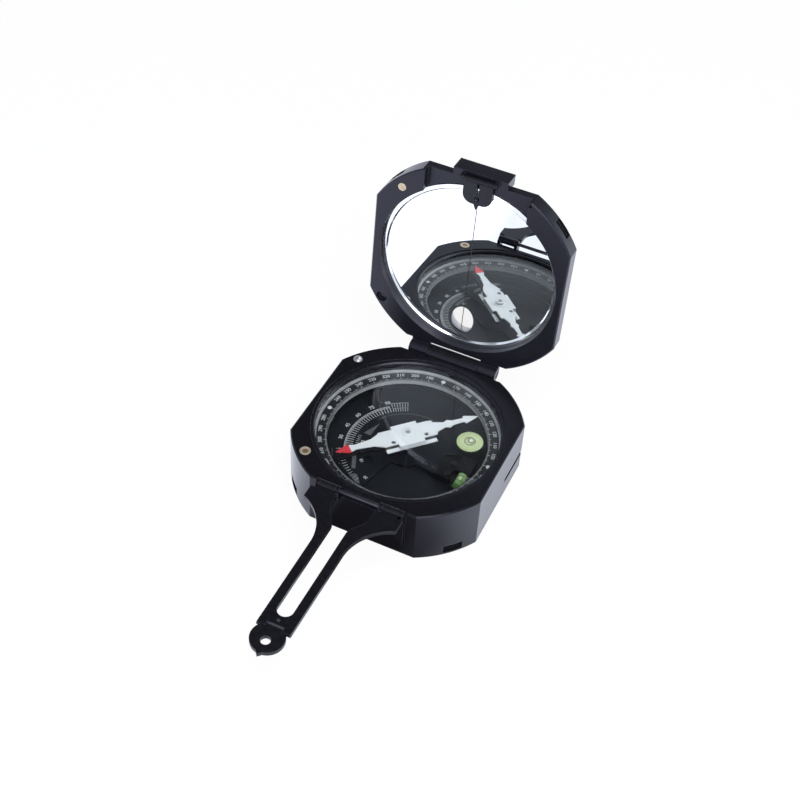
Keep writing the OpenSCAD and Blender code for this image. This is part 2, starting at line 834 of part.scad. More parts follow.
module needle_magnet() {
  color([0.6, 0.62, 0.65])
    at_needle()
      difference() {
        translate([-magnet_l / 2, -magnet_w / 2, magnet_z])
          cube([magnet_l, magnet_w, magnet_t]);
        translate([0, 0, magnet_z - 1])
          cylinder(r = cap_r + press_fit, h = magnet_t + 2, $fn = 48);
      }
}

module needle_cap() {
  color([0.9, 0.9, 0.92])
    difference() {
      translate([0, 0, cap_low])
        cylinder(r = cap_r, h = cap_top - cap_low, $fn = 48);
      translate([0, 0, cap_low - 1])
        cylinder(r = pivot_r + 0.3, h = pivot_top - 0.9 - cap_low + 1, $fn = 32);
      translate([0, 0, pivot_top - 1])
        cylinder(r1 = pivot_r + 0.3, r2 = 0.1, h = 1.15, $fn = 32);
    }
}

// Needle lifter and brake

module lift_bush() {
  color([0.85, 0.7, 0.4])
    rotate([0, 0, lift_dir])
      translate([pin_at, 0, 0])
        tube(lift_bush_r, lift_pin_r + run_fit, case_h - bush_l(), bush_l());
}

module lift_pin() {
  color([0.2, 0.2, 0.2])
    rotate([0, 0, lift_dir])
      translate([pin_at, 0, lift_pin_low])
        cylinder(r = lift_pin_r, h = lift_pin_top - lift_pin_low, $fn = 48);
}

// Two-armed lever: the pin presses its outer end and its inner ring lifts the needle
module lift_lever() {
  step_x = ring_in_r - 0.4;
  color([0.5, 0.5, 0.52])
    rotate([0, 0, lift_dir])
      difference() {
        union() {
          translate([step_x - 1.2, -lift_w / 2, lift_low_z])
            cube([pin_at + lift_pin_r - step_x + 1.2, lift_w, lift_low_t]);
          translate([step_x - 1.2, -lift_w / 2, lift_low_z])
            cube([1, lift_w, lift_z + lift_t - lift_low_z]);
          translate([lift_ring_r - 0.6, -lift_w / 2, lift_z])
            cube([step_x - 0.2 - lift_ring_r + 0.6 - 0.9, lift_w, lift_t]);
          translate([0, 0, lift_z])
            cylinder(r = lift_ring_r, h = lift_t, $fn = 64);
        }
        translate([0, 0, lift_z - 1])
          cylinder(r = lift_ring_r - 1, h = 3, $fn = 64);
        translate([lift_pivot_at, 5, lift_low_z])
          rotate([90, 0, 0])
            cylinder(r = lift_axle_r() + run_fit, h = 10, $fn = 32);
      }
}

function lift_axle_r() = 0.35;

// Two ears on a foot that stand on the dial plate and hold the lever's axle
module lift_bracket() {
  color([0.5, 0.5, 0.52])
    rotate([0, 0, lift_dir])
      difference() {
        union() {
          translate([lift_pivot_at - 0.8, -lift_w / 2 - 0.8, dial_z])
            cube([1.6, lift_w + 1.6, 0.5]);
          for (y = [-lift_w / 2 - 0.8, lift_w / 2 + 0.1])
            translate([lift_pivot_at - 0.8, y, dial_z])
              cube([1.6, 0.7, lift_low_z + 0.8 - dial_z]);
        }
        translate([lift_pivot_at, 5, lift_low_z])
          rotate([90, 0, 0])
            cylinder(r = lift_axle_r() + press_fit, h = 10, $fn = 32);
      }
}

module lift_lever_pin() {
  color([0.75, 0.75, 0.78])
    rotate([0, 0, lift_dir])
      translate([lift_pivot_at, lift_w / 2 + 0.8, lift_low_z])
        rotate([90, 0, 0])
          cylinder(r = lift_axle_r(), h = lift_w + 1.6, $fn = 32);
}

// Spring sleeve under the lever's outer end, which brings the lift pin back up
module lift_spring() {
  color([0.75, 0.75, 0.78])
    rotate([0, 0, lift_dir])
      translate([pin_at, 0, 0])
        tube(lift_pin_r - 0.05, lift_pin_r - 0.4, lift_spring_z + 0.02,
          lift_low_z - lift_spring_z - 0.04);
}

module brake_button() {
  color([0.8, 0.8, 0.82])
    rotate([0, 0, brake_dir])
      translate([brake_at, 0, 0]) {
        translate([0, 0, brake_low])
          cylinder(r = brake_r, h = case_h - brake_low, $fn = 48);
        intersection() {
          translate([0, 0, case_h - 0.2])
            cylinder(r = brake_r, h = 5, $fn = 48);
          translate([0, 0, brake_top - dome_r()])
            sphere(r = dome_r(), $fn = 48);
        }
      }
}

function dome_r() = (brake_r * brake_r + brake_dome * brake_dome) / (2 * brake_dome);

module brake_spring() {
  color([0.75, 0.75, 0.78])
    rotate([0, 0, brake_dir])
      translate([brake_at, 0, 0])
        tube(brake_r - 0.2, brake_r - 0.6, brake_hole_z + 0.02, brake_low - brake_hole_z - 0.04);
}

// Glass

module glass_gasket() {
  color([0.1, 0.1, 0.1])
    tube(bezel_r - 0.05, ring_bore_r + 0.1, seat_z, gasket_t);
}

module dial_glass() {
  color([0.8, 0.9, 0.9, 0.3])
    translate([0, 0, glass_z])
      cylinder(r = bezel_r - 0.1, h = glass_t, $fn = 96);
}

module bezel_ring() {
  color([0.05, 0.05, 0.06])
    translate([0, 0, bezel_z])
      rotate_extrude($fn = 96)
        polygon([[bezel_in_r, 0], [bezel_r, 0], [bezel_r, bezel_t], [bezel_in_r + 0.5, bezel_t],
          [bezel_in_r, bezel_t - 0.4]]);
}

// Lid: drawn closed, then swung open about its hinge

module swing_lid() {
  translate([0, hinge_y, hinge_z])
    rotate([-lid_open, 0, 0])
      translate([0, -hinge_y, -hinge_z])
        children();
}

module lid_hinge_pin() {
  pin_l = mid_knuckle_l + 2 * end_knuckle_l;
  color([0.5, 0.5, 0.52])
    translate([0, hinge_y, hinge_z])
      rod_x(hinge_pin_r, pin_l, 0);
}

module lid_knuckle(side) {
  inner = mid_knuckle_l / 2 + 0.1;
  x = side > 0 ? inner : -inner - end_knuckle_l;
  translate([0, hinge_y, hinge_z])
    rod_x(knuckle_r, end_knuckle_l, x + end_knuckle_l / 2);
  translate([x, case_l / 2 - 1, lid_z])
    cube([end_knuckle_l, hinge_out + 1, hinge_z + knuckle_r - lid_z]);
}

// Block at the lid's far end that carries the front sight's pin between two ears
module sight_block() {
  ear_x = sight_w / 2 + 0.15;
  translate([-block_w / 2, -case_l / 2 - block_out, lid_z + channel_d + 0.1])
    cube([block_w, block_out + 1, lid_h + block_up - channel_d - gap]);
  for (x = [ear_x, -ear_x - sight_lug_t]) {
    translate([0, -sight_pin_y, lid_z + sight_pin_d])
      rod_x(sight_knuckle_r, sight_lug_t, x + sight_lug_t / 2);
    translate([x, -sight_pin_y - sight_knuckle_r, lid_z + sight_pin_d])
      cube([sight_lug_t, 2 * sight_knuckle_r, channel_d - sight_pin_d + 0.3]);
  }
}

module lid_frame() {
  color([0.05, 0.05, 0.06])
    swing_lid()
      difference() {
        union() {
          difference() {
            union() {
              bevelled_blank(lid_z, lid_z + lid_h, edge_c, lid_bevel);
              lid_knuckle(1);
              lid_knuckle(-1);
            }
            translate([-channel_w / 2, -case_l, lid_z - 1])
              cube([channel_w, case_l, channel_d + 1]);
          }
          sight_block();
        }
        translate([0, 0, lid_z - 1])
          cylinder(r = lid_bore_r, h = mirror_d + mirror_t + pad_t() + 1, $fn = 96);
        window_hole(window_r + 1.6);
        rotate([0, 0, lift_dir])
          translate([pin_at, 0, lid_z - 1])
            cylinder(r = stud_shank_r() + press_fit, h = 3.2, $fn = 32);
        rotate([0, 0, brake_dir])
          translate([brake_at, 0, lid_z - 1])
            cylinder(r = brake_r + 0.4, h = 2.2, $fn = 32);
        translate([17.4, -case_l / 2 + 1.2, lid_z - 1])
          cylinder(r = 0.7, h = 2.6, $fn = 24);
        finger_notches(lid_z + lid_h - lid_bevel - notch_h);
        translate([0, hinge_y, hinge_z])
          rod_x(hinge_pin_r + run_fit, case_w, 0);
        translate([0, -sight_pin_y, lid_z + sight_pin_d])
          rod_x(sight_pin_r + press_fit, sight_w + 2 * sight_lug_t + 2, 0);
      }
}

function pad_t() = 0.5;
function stud_r() = 1.35;
function stud_shank_r() = 0.9;

// Oval hole behind the mirror's clear window
module window_hole(r) {
  half = window_l / 2 - window_r;
  translate([0, window_at, 0])
    linear_extrude(big) {
      for (m = [-1, 1])
        translate([0, m * half])
          circle(r = r, $fn = 48);
      translate([-r, -half])
        square([2 * r, 2 * half]);
    }
}

module mirror_pad() {
  color([0.45, 0.35, 0.25])
    swing_lid()
      difference() {
        translate([0, 0, lid_z + mirror_d + mirror_t])
          cylinder(r = lid_bore_r - 0.3, h = pad_t(), $fn = 96);
        window_hole(window_r + 2.2);
      }
}

module mirror_glass() {
  color([0.85, 0.88, 0.9])
    swing_lid()
      translate([0, 0, lid_z + mirror_d])
        cylinder(r = lid_bore_r - gap, h = mirror_t, $fn = 96);
}

module mirror_ring() {
  color([0.8, 0.8, 0.82])
    swing_lid()
      translate([0, 0, lid_z + mirror_d - mirror_ring_t])
        rotate_extrude($fn = 96)
          polygon([[lid_bore_r - gap - mirror_ring_w, mirror_ring_t],
            [lid_bore_r - gap - mirror_ring_w + 0.5, 0], [lid_bore_r - gap, 0],
            [lid_bore_r - gap, mirror_ring_t]]);
}

module lid_stud() {
  color([0.85, 0.7, 0.4])
    swing_lid()
      rotate([0, 0, lift_dir])
        translate([pin_at, 0, 0]) {
          difference() {
            union() {
              translate([0, 0, lid_z])
                cylinder(r = stud_shank_r(), h = 2, $fn = 32);
              translate([0, 0, lid_z - 0.2])
                cylinder(r = stud_r(), h = 0.2, $fn = 48);
            }
            translate([-2, -0.2, lid_z - 0.3])
              cube([4, 0.4, 0.25]);
          }
        }
}

module front_sight() {
  face = lid_z + sight_face_d;
  color([0.05, 0.05, 0.06])
    swing_lid()
      difference() {
        union() {
          translate([0, -sight_pin_y, face])
            linear_extrude(sight_t)
              sight_outline();
          translate([0, -sight_pin_y, lid_z + sight_pin_d])
            rod_x(sight_knuckle_r, sight_w, 0);
        }
        translate([0, -sight_pin_y, lid_z + sight_pin_d])
          rod_x(sight_pin_r + run_fit, sight_w + 2, 0);
        translate([0, -sight_pin_y + sight_l - 2, face - 1])
          cylinder(r = sight_hole_r, h = 3, $fn = 32);
        translate([-0.4, -sight_pin_y + 1, face - 1])
          cube([0.8, sight_l - 5, 3]);
      }
}

// Leaf with round shoulders and a small point
module sight_outline() {
  round_x = sight_w / 2 - sight_round;
  translate([-sight_w / 2, 0])
    square([sight_w, sight_l - sight_round]);
  for (m = [-1, 1])
    translate([m * round_x, sight_l - sight_round])
      circle(r = sight_round, $fn = 48);
  translate([-round_x, 1])
    square([2 * round_x, sight_l - 1]);
  polygon([[-1.1, sight_l - 0.5], [1.1, sight_l - 0.5], [0, sight_l + 2]]);
}

module front_sight_pin() {
  color([0.6, 0.6, 0.62])
    swing_lid()
      translate([0, -sight_pin_y, lid_z + sight_pin_d])
        rod_x(sight_pin_r, sight_w + 2 * sight_lug_t + 0.2, 0);
}

// Sight arm

module arm_hinge_pin() {
  color([0.6, 0.6, 0.62])
    translate([0, arm_y, arm_z])
      rod_x(arm_pin_r, 2 * (arm_lug_out + lug_t), 0);
}

// Plan of the arm: two rails joined at both ends, with a root that spreads to the knuckles
module arm_plan() {
  root_y = arm_y - arm_knuckle_r - 1;
  mouth = arm_lug_in - lug_gap;
  root_end = root_y - 3.4;
  curve_x = arm_w / 2 + root_curve_r;
  difference() {
    union() {
      translate([-arm_w / 2, peep_y + peep_knuckle_r + 0.4])
        square([arm_w, root_end - peep_y]);
      translate([-root_w / 2, root_end])
        square([root_w, root_y - root_end]);
      translate([-root_w / 2, root_end - root_curve_r])
        square([root_w, root_curve_r + 0.1]);
    }
    for (m = [-1, 1])
      translate([m * curve_x, root_end - root_curve_r])
        circle(r = root_curve_r, $fn = 64);
    for (m = [-1, 1])
      translate([m * curve_x - root_curve_r, root_end - root_curve_r - arm_l])
        square([2 * root_curve_r, arm_l]);
    arm_slot();
    polygon(concat([[mouth, arm_y], [-mouth, arm_y]], funnel_side(-1, mouth), backwards(funnel_side(1, mouth))));
  }
}

// Side of the opening between the arm's legs, from the hinge inwards to the slot
function funnel_side(m, mouth) = [
  for (t = [0 : 0.125 : 1])
    [m * (arm_slot_w / 2 + (mouth - arm_slot_w / 2) * (1 + cos(180 * t)) / 2),
      arm_y - mouth_l - (slot_start - mouth_l) * t]
];

module arm_slot() {
  start_y = arm_y - slot_start;
  stop_y = peep_y + slot_stop + arm_slot_w / 2;
  translate([-arm_slot_w / 2, stop_y])
    square([arm_slot_w, start_y - stop_y + 0.1]);
  translate([0, stop_y])
    circle(r = arm_slot_w / 2, $fn = 48);
}

module sight_arm() {
  low = arm_z - arm_t / 2;
  color([0.05, 0.05, 0.06])
    difference() {
      union() {
        translate([0, 0, low])
          linear_extrude(arm_t)
            arm_plan();
        for (m = [-1, 1]) {
          translate([0, arm_y, arm_z])
            rod_x(arm_knuckle_r, arm_knuckle_l, m * (arm_gap + arm_knuckle_l / 2));
          translate([m > 0 ? arm_gap : -arm_gap - arm_knuckle_l, arm_y - 2.6, low])
            cube([arm_knuckle_l, 2.6, arm_t]);
          translate([m > 0 ? peep_ear_x() : -arm_w / 2, peep_y, arm_z])
            rod_x(peep_knuckle_r, arm_w / 2 - peep_ear_x(), (arm_w / 2 - peep_ear_x()) / 2);
          translate([m > 0 ? peep_ear_x() : -arm_w / 2, peep_y, low])
            cube([arm_w / 2 - peep_ear_x(), peep_knuckle_r + 1, arm_t]);
        }
      }
      translate([0, arm_y, arm_z])
        rod_x(arm_pin_r + run_fit, case_w, 0);
      translate([0, peep_y, arm_z])
        rod_x(peep_pin_r + press_fit, arm_w + 2, 0);
      translate([0, peep_y + 2.6, low - 1])
        cylinder(r = 0.5, h = 4, $fn = 24);
    }
}

function peep_ear_x() = peep_knuckle_w / 2 + 0.1;

module peep_sight() {
  low = arm_z - arm_t / 2;
  tip_y = peep_y - peep_disc_at - peep_r;
  color([0.05, 0.05, 0.06])
    difference() {
      union() {
        translate([0, 0, low])
          linear_extrude(arm_t)
            difference() {
              union() {
                translate([0, peep_y - peep_disc_at])
                  circle(r = peep_r, $fn = 64);
                polygon([[-1.2, tip_y + 0.3], [1.2, tip_y + 0.3], [0, tip_y - 1]]);
              }
              translate([-arm_w, peep_y - peep_knuckle_r - 0.15])
                square([2 * arm_w, 20]);
              translate([0, peep_y - peep_at])
                circle(r = peep_hole_r, $fn = 48);
            }
        translate([-peep_knuckle_w / 2, peep_y - peep_knuckle_r - 0.6, low])
          cube([peep_knuckle_w, peep_knuckle_r + 0.6, arm_t]);
        translate([0, peep_y, arm_z])
          rod_x(peep_knuckle_r, peep_knuckle_w, 0);
      }
      translate([0, peep_y, arm_z])
        rod_x(peep_pin_r + run_fit, arm_w, 0);
    }
}

module peep_pin() {
  color([0.6, 0.6, 0.62])
    translate([0, peep_y, arm_z])
      rod_x(peep_pin_r, arm_w - 0.2, 0);
}

case_body();
clinometer_bush();
dial_plate();
dial_screws();
graduated_ring();
declination_pinion();
round_level_cup();
round_level_vial();
clinometer_shaft();
vernier_plate();
level_housing();
level_screws();
tubular_level();
friction_washer();
clinometer_lever();
lever_screw();
pivot_pin();
needle_cap();
needle_blade();
needle_magnet();
lift_bush();
lift_pin();
lift_lever();
lift_bracket();
lift_lever_pin();
lift_spring();
brake_button();
brake_spring();
glass_gasket();
dial_glass();
bezel_ring();
lid_hinge_pin();
lid_frame();
mirror_pad();
mirror_glass();
mirror_ring();
lid_stud();
front_sight();
front_sight_pin();
arm_hinge_pin();
sight_arm();
peep_sight();
peep_pin();
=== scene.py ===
import math

import bpy
from mathutils import Matrix, Vector


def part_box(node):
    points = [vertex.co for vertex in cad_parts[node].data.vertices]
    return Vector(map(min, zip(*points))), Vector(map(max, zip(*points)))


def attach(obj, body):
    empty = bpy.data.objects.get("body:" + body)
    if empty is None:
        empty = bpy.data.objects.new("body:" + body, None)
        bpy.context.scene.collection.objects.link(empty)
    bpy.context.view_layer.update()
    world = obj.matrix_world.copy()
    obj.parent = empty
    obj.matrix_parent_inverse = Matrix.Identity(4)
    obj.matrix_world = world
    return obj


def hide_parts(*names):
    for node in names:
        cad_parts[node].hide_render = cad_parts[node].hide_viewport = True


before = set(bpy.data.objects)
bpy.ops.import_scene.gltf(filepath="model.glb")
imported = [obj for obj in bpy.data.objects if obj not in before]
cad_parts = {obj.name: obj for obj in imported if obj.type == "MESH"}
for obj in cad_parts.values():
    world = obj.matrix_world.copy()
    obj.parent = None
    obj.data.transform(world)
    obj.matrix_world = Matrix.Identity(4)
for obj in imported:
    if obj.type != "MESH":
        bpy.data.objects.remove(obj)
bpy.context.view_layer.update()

# The pocket transit is built in metres, in the same frame as its solids.
MM = 0.001


def top_of(node):
    """The height of a CAD piece's highest face, rounded because the frame keeps single precision."""
    return round(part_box(node)[1].z, 7)


def polar(radius, degrees, height=0.0):
    """A point at degrees against the clock from the right-hand side, about the needle's axis."""
    a = math.radians(degrees)
    return Vector((radius * math.cos(a), radius * math.sin(a), height))


# Heights of the faces that carry a print or a small part. The ring's lip stands above its numbers.
RING_LIP = 0.7 * MM
RING_TOP = top_of("graduated_ring") - RING_LIP
DIAL_TOP = top_of("dial_plate")
VERNIER_TOP = top_of("vernier_plate")
NEEDLE_TOP = top_of("needle_blade")
PRINT_T = 0.035 * MM

# Radii on the ring: its bore, where its lip starts, and where its printed lines start.
RING_BORE_R = 25.65 * MM
RING_LIP_R = 28.95 * MM
RING_LINES_R = 25.72

# The way the needle points, and the middles of the two levels.
NEEDLE_LINE = polar(1.0, 226.4)
ROUND_LEVEL = polar(20.1 * MM, 29, top_of("round_level_vial"))
TUBE_LEVEL = polar(21.3 * MM, -9, 10.2 * MM)
TUBE_LEVEL_TURN = 1.0

# Places in the lid are given with it closed, then turned open about its hinge.
LID_AXIS = Vector((0, 35.2 * MM, 19.0 * MM))
LID_OPEN = (
    Matrix.Translation(LID_AXIS)
    @ Matrix.Rotation(math.radians(-94), 4, "X")
    @ Matrix.Translation(-LID_AXIS)
)

# The oval window in the mirror, and the hole behind it in the lid.
WINDOW_R = 3.8 * MM
WINDOW_HALF_L = 5.1 * MM
WINDOW = LID_OPEN @ Vector((0, 20.8 * MM, 22.8 * MM))
WINDOW_HOLE = LID_OPEN @ Vector((0, 20.8 * MM, 25.8 * MM))

# The camera that matches the photo: its axes, its place in metres and its lens in millimetres.
CAMERA_RIGHT = (0.9029, 0.4276, 0.0442)
CAMERA_UP = (-0.3330, 0.6307, 0.7009)
CAMERA_BACK = (0.2718, -0.6476, 0.7119)
CAMERA_PLACE = (0.11712, -0.28721, 0.34569)
CAMERA_LENS = 64.32

# Brightness of the room's walls by height, as seen in a reflection: pairs of height and brightness.
PALE_SCREEN = ((0.52, 0.9), (0.553, 0.3), (0.64, 0.4), (0.74, 0.75), (0.79, 0.62), (0.822, 0.06))
REAR_WALL = ((0.16, 1.0), (0.42, 0.05))
# The room and the table look a little cool in what the part mirrors.
COOL_ROOM = (0.86, 0.94, 1.06)
COOL_TABLE = (1.0, 1.05, 1.19)
TABLE_LEVEL = 0.93

# Painted shadow and painted light on the table, seen only in reflections, in metres: where the shadow
# patch in front of the case starts, is full, ends and is gone, and the soft edges of the brighter patches
# at its sides.
SHADOW_PATCH_X = (-0.020, -0.012, 0.012, 0.047)
SHADOW_PATCH_Y = (-0.056, -0.050, -0.033, -0.024)
LIGHT_PATCHES_X = ((0.030, 0.042), (-0.026, -0.036))
LIGHT_PATCH_LEVEL = 0.4

WHITE = (1.0, 1.0, 1.0)
BLACK = (0.006, 0.006, 0.0085)


# Camera, room, table and lamps


def put_camera():
    rows = zip(CAMERA_RIGHT, CAMERA_UP, CAMERA_BACK, CAMERA_PLACE)
    place = Matrix((*rows, (0, 0, 0, 1)))
    lens = bpy.data.cameras.new("photo_camera")
    lens.sensor_width = 36
    lens.lens = CAMERA_LENS
    lens.clip_start = 0.01
    eye = bpy.data.objects.new("photo_camera", lens)
    bpy.context.scene.collection.objects.link(eye)
    eye.matrix_world = place
    bpy.context.scene.camera = eye


def soft_lamp(name, size, place, aim, watts, tint):
    light = bpy.data.lights.new(name, "AREA")
    light.shape = "RECTANGLE"
    light.size, light.size_y = size
    light.energy = watts
    light.color = tint
    lamp = bpy.data.objects.new(name, light)
    bpy.context.scene.collection.objects.link(lamp)
    lamp.location = place
    lamp.rotation_euler = (Vector(aim) - Vector(place)).to_track_quat("-Z", "Y").to_euler()


def shown_rays(tree):
    """1 for rays of the camera, of a reflection and through glass, otherwise 0."""
    path = tree.nodes.new("ShaderNodeLightPath")
    first = math_node(tree, "MAXIMUM", path.outputs["Is Camera Ray"], path.outputs["Is Glossy Ray"])
    return math_node(tree, "MAXIMUM", first, path.outputs["Is Transmission Ray"])


def wall_of_room(tree, height, steps):
    """Brightness of one wall of the room by height, as pairs of height and brightness."""
    ramp = tree.nodes.new("ShaderNodeValToRGB")
    marks = ramp.color_ramp.elements
    for index, (place, level) in enumerate(steps):
        mark = marks[index] if index < 2 else marks.new(place)
        mark.position = place
        mark.color = (*(level * part for part in COOL_ROOM), 1)
    tree.links.new(height, ramp.inputs["Fac"])
    return ramp.outputs["Color"]


def white_room():
    world = bpy.data.worlds.new("white_room")
    bpy.context.scene.world = world
    world.use_nodes = True
    tree = world.node_tree
    tree.nodes.clear()
    out = tree.nodes.new("ShaderNodeOutputWorld")
    lit = tree.nodes.new("ShaderNodeBackground")
    lit.inputs["Color"].default_value = (0.93, 0.95, 1.0, 1)
    lit.inputs["Strength"].default_value = 0.45
    seen = tree.nodes.new("ShaderNodeBackground")
    seen.inputs["Strength"].default_value = 1.0
    # The room is white low down and dark overhead, with a pale screen high up in front.
    where = tree.nodes.new("ShaderNodeTexCoord")
    split = tree.nodes.new("ShaderNodeSeparateXYZ")
    tree.links.new(where.outputs["Generated"], split.inputs[0])
    front = wall_of_room(tree, split.outputs["Z"], PALE_SCREEN)
    rear = wall_of_room(tree, split.outputs["Z"], REAR_WALL)
    round_about = tinted(tree, band(tree, split.outputs["Y"], -0.25, 0.05), front, rear)
    path = tree.nodes.new("ShaderNodeLightPath")
    shown = tinted(tree, path.outputs["Is Camera Ray"], round_about, WHITE)
    tree.links.new(shown, seen.inputs["Color"])
    mix = tree.nodes.new("ShaderNodeMixShader")
    tree.links.new(shown_rays(tree), mix.inputs[0])
    tree.links.new(lit.outputs[0], mix.inputs[1])
    tree.links.new(seen.outputs[0], mix.inputs[2])
    tree.links.new(mix.outputs[0], out.inputs["Surface"])


def cards(tree):
    """How bright the table looks in a reflection: a painted shadow before the case, painted light at its
    sides.
    """
    place = tree.nodes.new("ShaderNodeNewGeometry")
    split = tree.nodes.new("ShaderNodeSeparateXYZ")
    tree.links.new(place.outputs["Position"], split.inputs[0])
    x, y = split.outputs["X"], split.outputs["Y"]
    # Painted shadow: the table is darkened in front of the case, for reflections only.
    grey = times(tree, between(tree, y, *SHADOW_PATCH_Y), between(tree, x, *SHADOW_PATCH_X))
    # Painted light: the table glows brighter beyond each side of the case, for reflections only.
    right, left = (times(tree, band(tree, x, *edge), LIGHT_PATCH_LEVEL) for edge in LIGHT_PATCHES_X)
    plain = minus(tree, TABLE_LEVEL, times(tree, grey, TABLE_LEVEL))
    return plus(tree, plain, plus(tree, right, left))


def table_top():
    """A white table that stays white to the eye and still takes the part's shadow."""
    bpy.ops.object.select_all(action="DESELECT")
    bpy.ops.mesh.primitive_plane_add(size=6, location=(0, 0, -0.05 * MM))
    table = bpy.context.active_object
    table.name = "table_top"
    bpy.ops.object.transform_apply(location=True, rotation=True, scale=True)
    paint = bpy.data.materials.new("table_white")
    paint.use_nodes = True
    tree = paint.node_tree
    tree.nodes.clear()
    out = tree.nodes.new("ShaderNodeOutputMaterial")
    matt = tree.nodes.new("ShaderNodeBsdfDiffuse")
    matt.inputs["Color"].default_value = (0.86, 0.87, 0.9, 1)
    matt_seen = tree.nodes.new("ShaderNodeBsdfDiffuse")
    matt_seen.inputs["Color"].default_value = (0.09, 0.09, 0.09, 1)
    glow = tree.nodes.new("ShaderNodeEmission")
    path = tree.nodes.new("ShaderNodeLightPath")
    eye = path.outputs["Is Camera Ray"]
    tree.links.new(tinted(tree, eye, COOL_TABLE, WHITE), glow.inputs["Color"])
    direct = times(tree, eye, TABLE_LEVEL)
    mirrored = times(tree, minus(tree, 1.0, eye), cards(tree))
    tree.links.new(plus(tree, direct, mirrored), glow.inputs["Strength"])
    both = tree.nodes.new("ShaderNodeAddShader")
    mix = tree.nodes.new("ShaderNodeMixShader")
    tree.links.new(matt_seen.outputs[0], both.inputs[0])
    tree.links.new(glow.outputs[0], both.inputs[1])
    tree.links.new(shown_rays(tree), mix.inputs[0])
    tree.links.new(matt.outputs[0], mix.inputs[1])
    tree.links.new(both.outputs[0], mix.inputs[2])
    tree.links.new(mix.outputs[0], out.inputs["Surface"])
    table.data.materials.append(paint)


# Node helpers


def math_node(tree, operation, a, b=None, clamp=False):
    node = tree.nodes.new("ShaderNodeMath")
    node.operation = operation
    node.use_clamp = clamp
    for socket, value in zip(node.inputs, (a, b)):
        if value is None:
            continue
        if isinstance(value, (int, float)):
            socket.default_value = value
        else:
            tree.links.new(value, socket)
    return node.outputs[0]


def plus(tree, a, b, clamp=False):
    return math_node(tree, "ADD", a, b, clamp)


def minus(tree, a, b):
    return math_node(tree, "SUBTRACT", a, b)


def times(tree, a, b, clamp=False):
    return math_node(tree, "MULTIPLY", a, b, clamp)


def swing(tree, value, span, base):
    """value stretched by span and raised by base."""
    return plus(tree, times(tree, value, span), base)


def band(tree, value, low, high):
    """0 below low, 1 above high, straight between them."""
    node = tree.nodes.new("ShaderNodeMapRange")
    node.inputs["From Min"].default_value = low
    node.inputs["From Max"].default_value = high
    tree.links.new(value, node.inputs["Value"])
    return node.outputs["Result"]


def below(tree, value, low, high):
    """1 below low, 0 above high, straight between them."""
    return minus(tree, 1.0, band(tree, value, low, high))


def between(tree, value, start_low, start_high, end_low, end_high):
    """1 in the middle, with a soft edge at each end."""
    return times(tree, band(tree, value, start_low, start_high), below(tree, value, end_low, end_high))


def tinted(tree, mask, plain, marked):
    """plain where the mask is 0 and marked where it is 1; each is a colour or a socket."""
    node = tree.nodes.new("ShaderNodeMix")
    node.data_type = "RGBA"
    tree.links.new(mask, node.inputs[0])
    for socket, colour in ((node.inputs[6], plain), (node.inputs[7], marked)):
        if isinstance(colour, tuple):
            socket.default_value = (*colour, 1)
        else:
            tree.links.new(colour, socket)
    return node.outputs[2]


def here(tree):
    """The place on the piece, in its own frame."""
    return tree.nodes.new("ShaderNodeTexCoord").outputs["Object"]


def noise(tree, place, scale, detail=2.0, stretch=None):
    if stretch:
        turn = tree.nodes.new("ShaderNodeMapping")
        turn.inputs["Scale"].default_value = stretch
        tree.links.new(place, turn.inputs["Vector"])
        place = turn.outputs["Vector"]
    node = tree.nodes.new("ShaderNodeTexNoise")
    node.inputs["Detail"].default_value = detail
    if isinstance(scale, (int, float)):
        node.inputs["Scale"].default_value = scale
    else:
        tree.links.new(scale, node.inputs["Scale"])
    tree.links.new(place, node.inputs["Vector"])
    return node.outputs["Fac"]


def far_from(tree, place, centre):
    """Distance from a point, in the piece's frame."""
    node = tree.nodes.new("ShaderNodeVectorMath")
    node.operation = "DISTANCE"
    tree.links.new(place, node.inputs[0])
    node.inputs[1].default_value = centre
    return node.outputs["Value"]


def effect(name, inputs, outputs):
    """An empty node group with named values in and named sockets out."""
    tree = bpy.data.node_groups.new(name, "ShaderNodeTree")
    for label, value in inputs:
        socket = tree.interface.new_socket(label, in_out="INPUT", socket_type="NodeSocketFloat")
        socket.default_value = value
    for label, kind in outputs:
        tree.interface.new_socket(label, in_out="OUTPUT", socket_type=kind)
    return tree, tree.nodes.new("NodeGroupInput"), tree.nodes.new("NodeGroupOutput")


def make_worn_edges():
    """Rounded edges to the light, and a broken mask along the edges, used for rubbed finish and for
    painted edge highlights.
    """
    tree, given, result = effect(
        "worn_edges",
        (("Edge", 0.25 * MM), ("Scale", 900.0)),
        (("Mask", "NodeSocketFloat"), ("Normal", "NodeSocketVector")),
    )
    soft = tree.nodes.new("ShaderNodeBevel")
    soft.samples = 6
    tree.links.new(given.outputs["Edge"], soft.inputs["Radius"])
    flat = tree.nodes.new("ShaderNodeNewGeometry")
    dot = tree.nodes.new("ShaderNodeVectorMath")
    dot.operation = "DOT_PRODUCT"
    tree.links.new(soft.outputs["Normal"], dot.inputs[0])
    tree.links.new(flat.outputs["Normal"], dot.inputs[1])
    edge = band(tree, minus(tree, 1.0, dot.outputs["Value"]), 0.02, 0.22)
    patch = noise(tree, here(tree), given.outputs["Scale"], 4.0)
    broken = times(tree, edge, band(tree, patch, 0.35, 0.62), True)
    tree.links.new(broken, result.inputs["Mask"])
    tree.links.new(soft.outputs["Normal"], result.inputs["Normal"])
    return tree


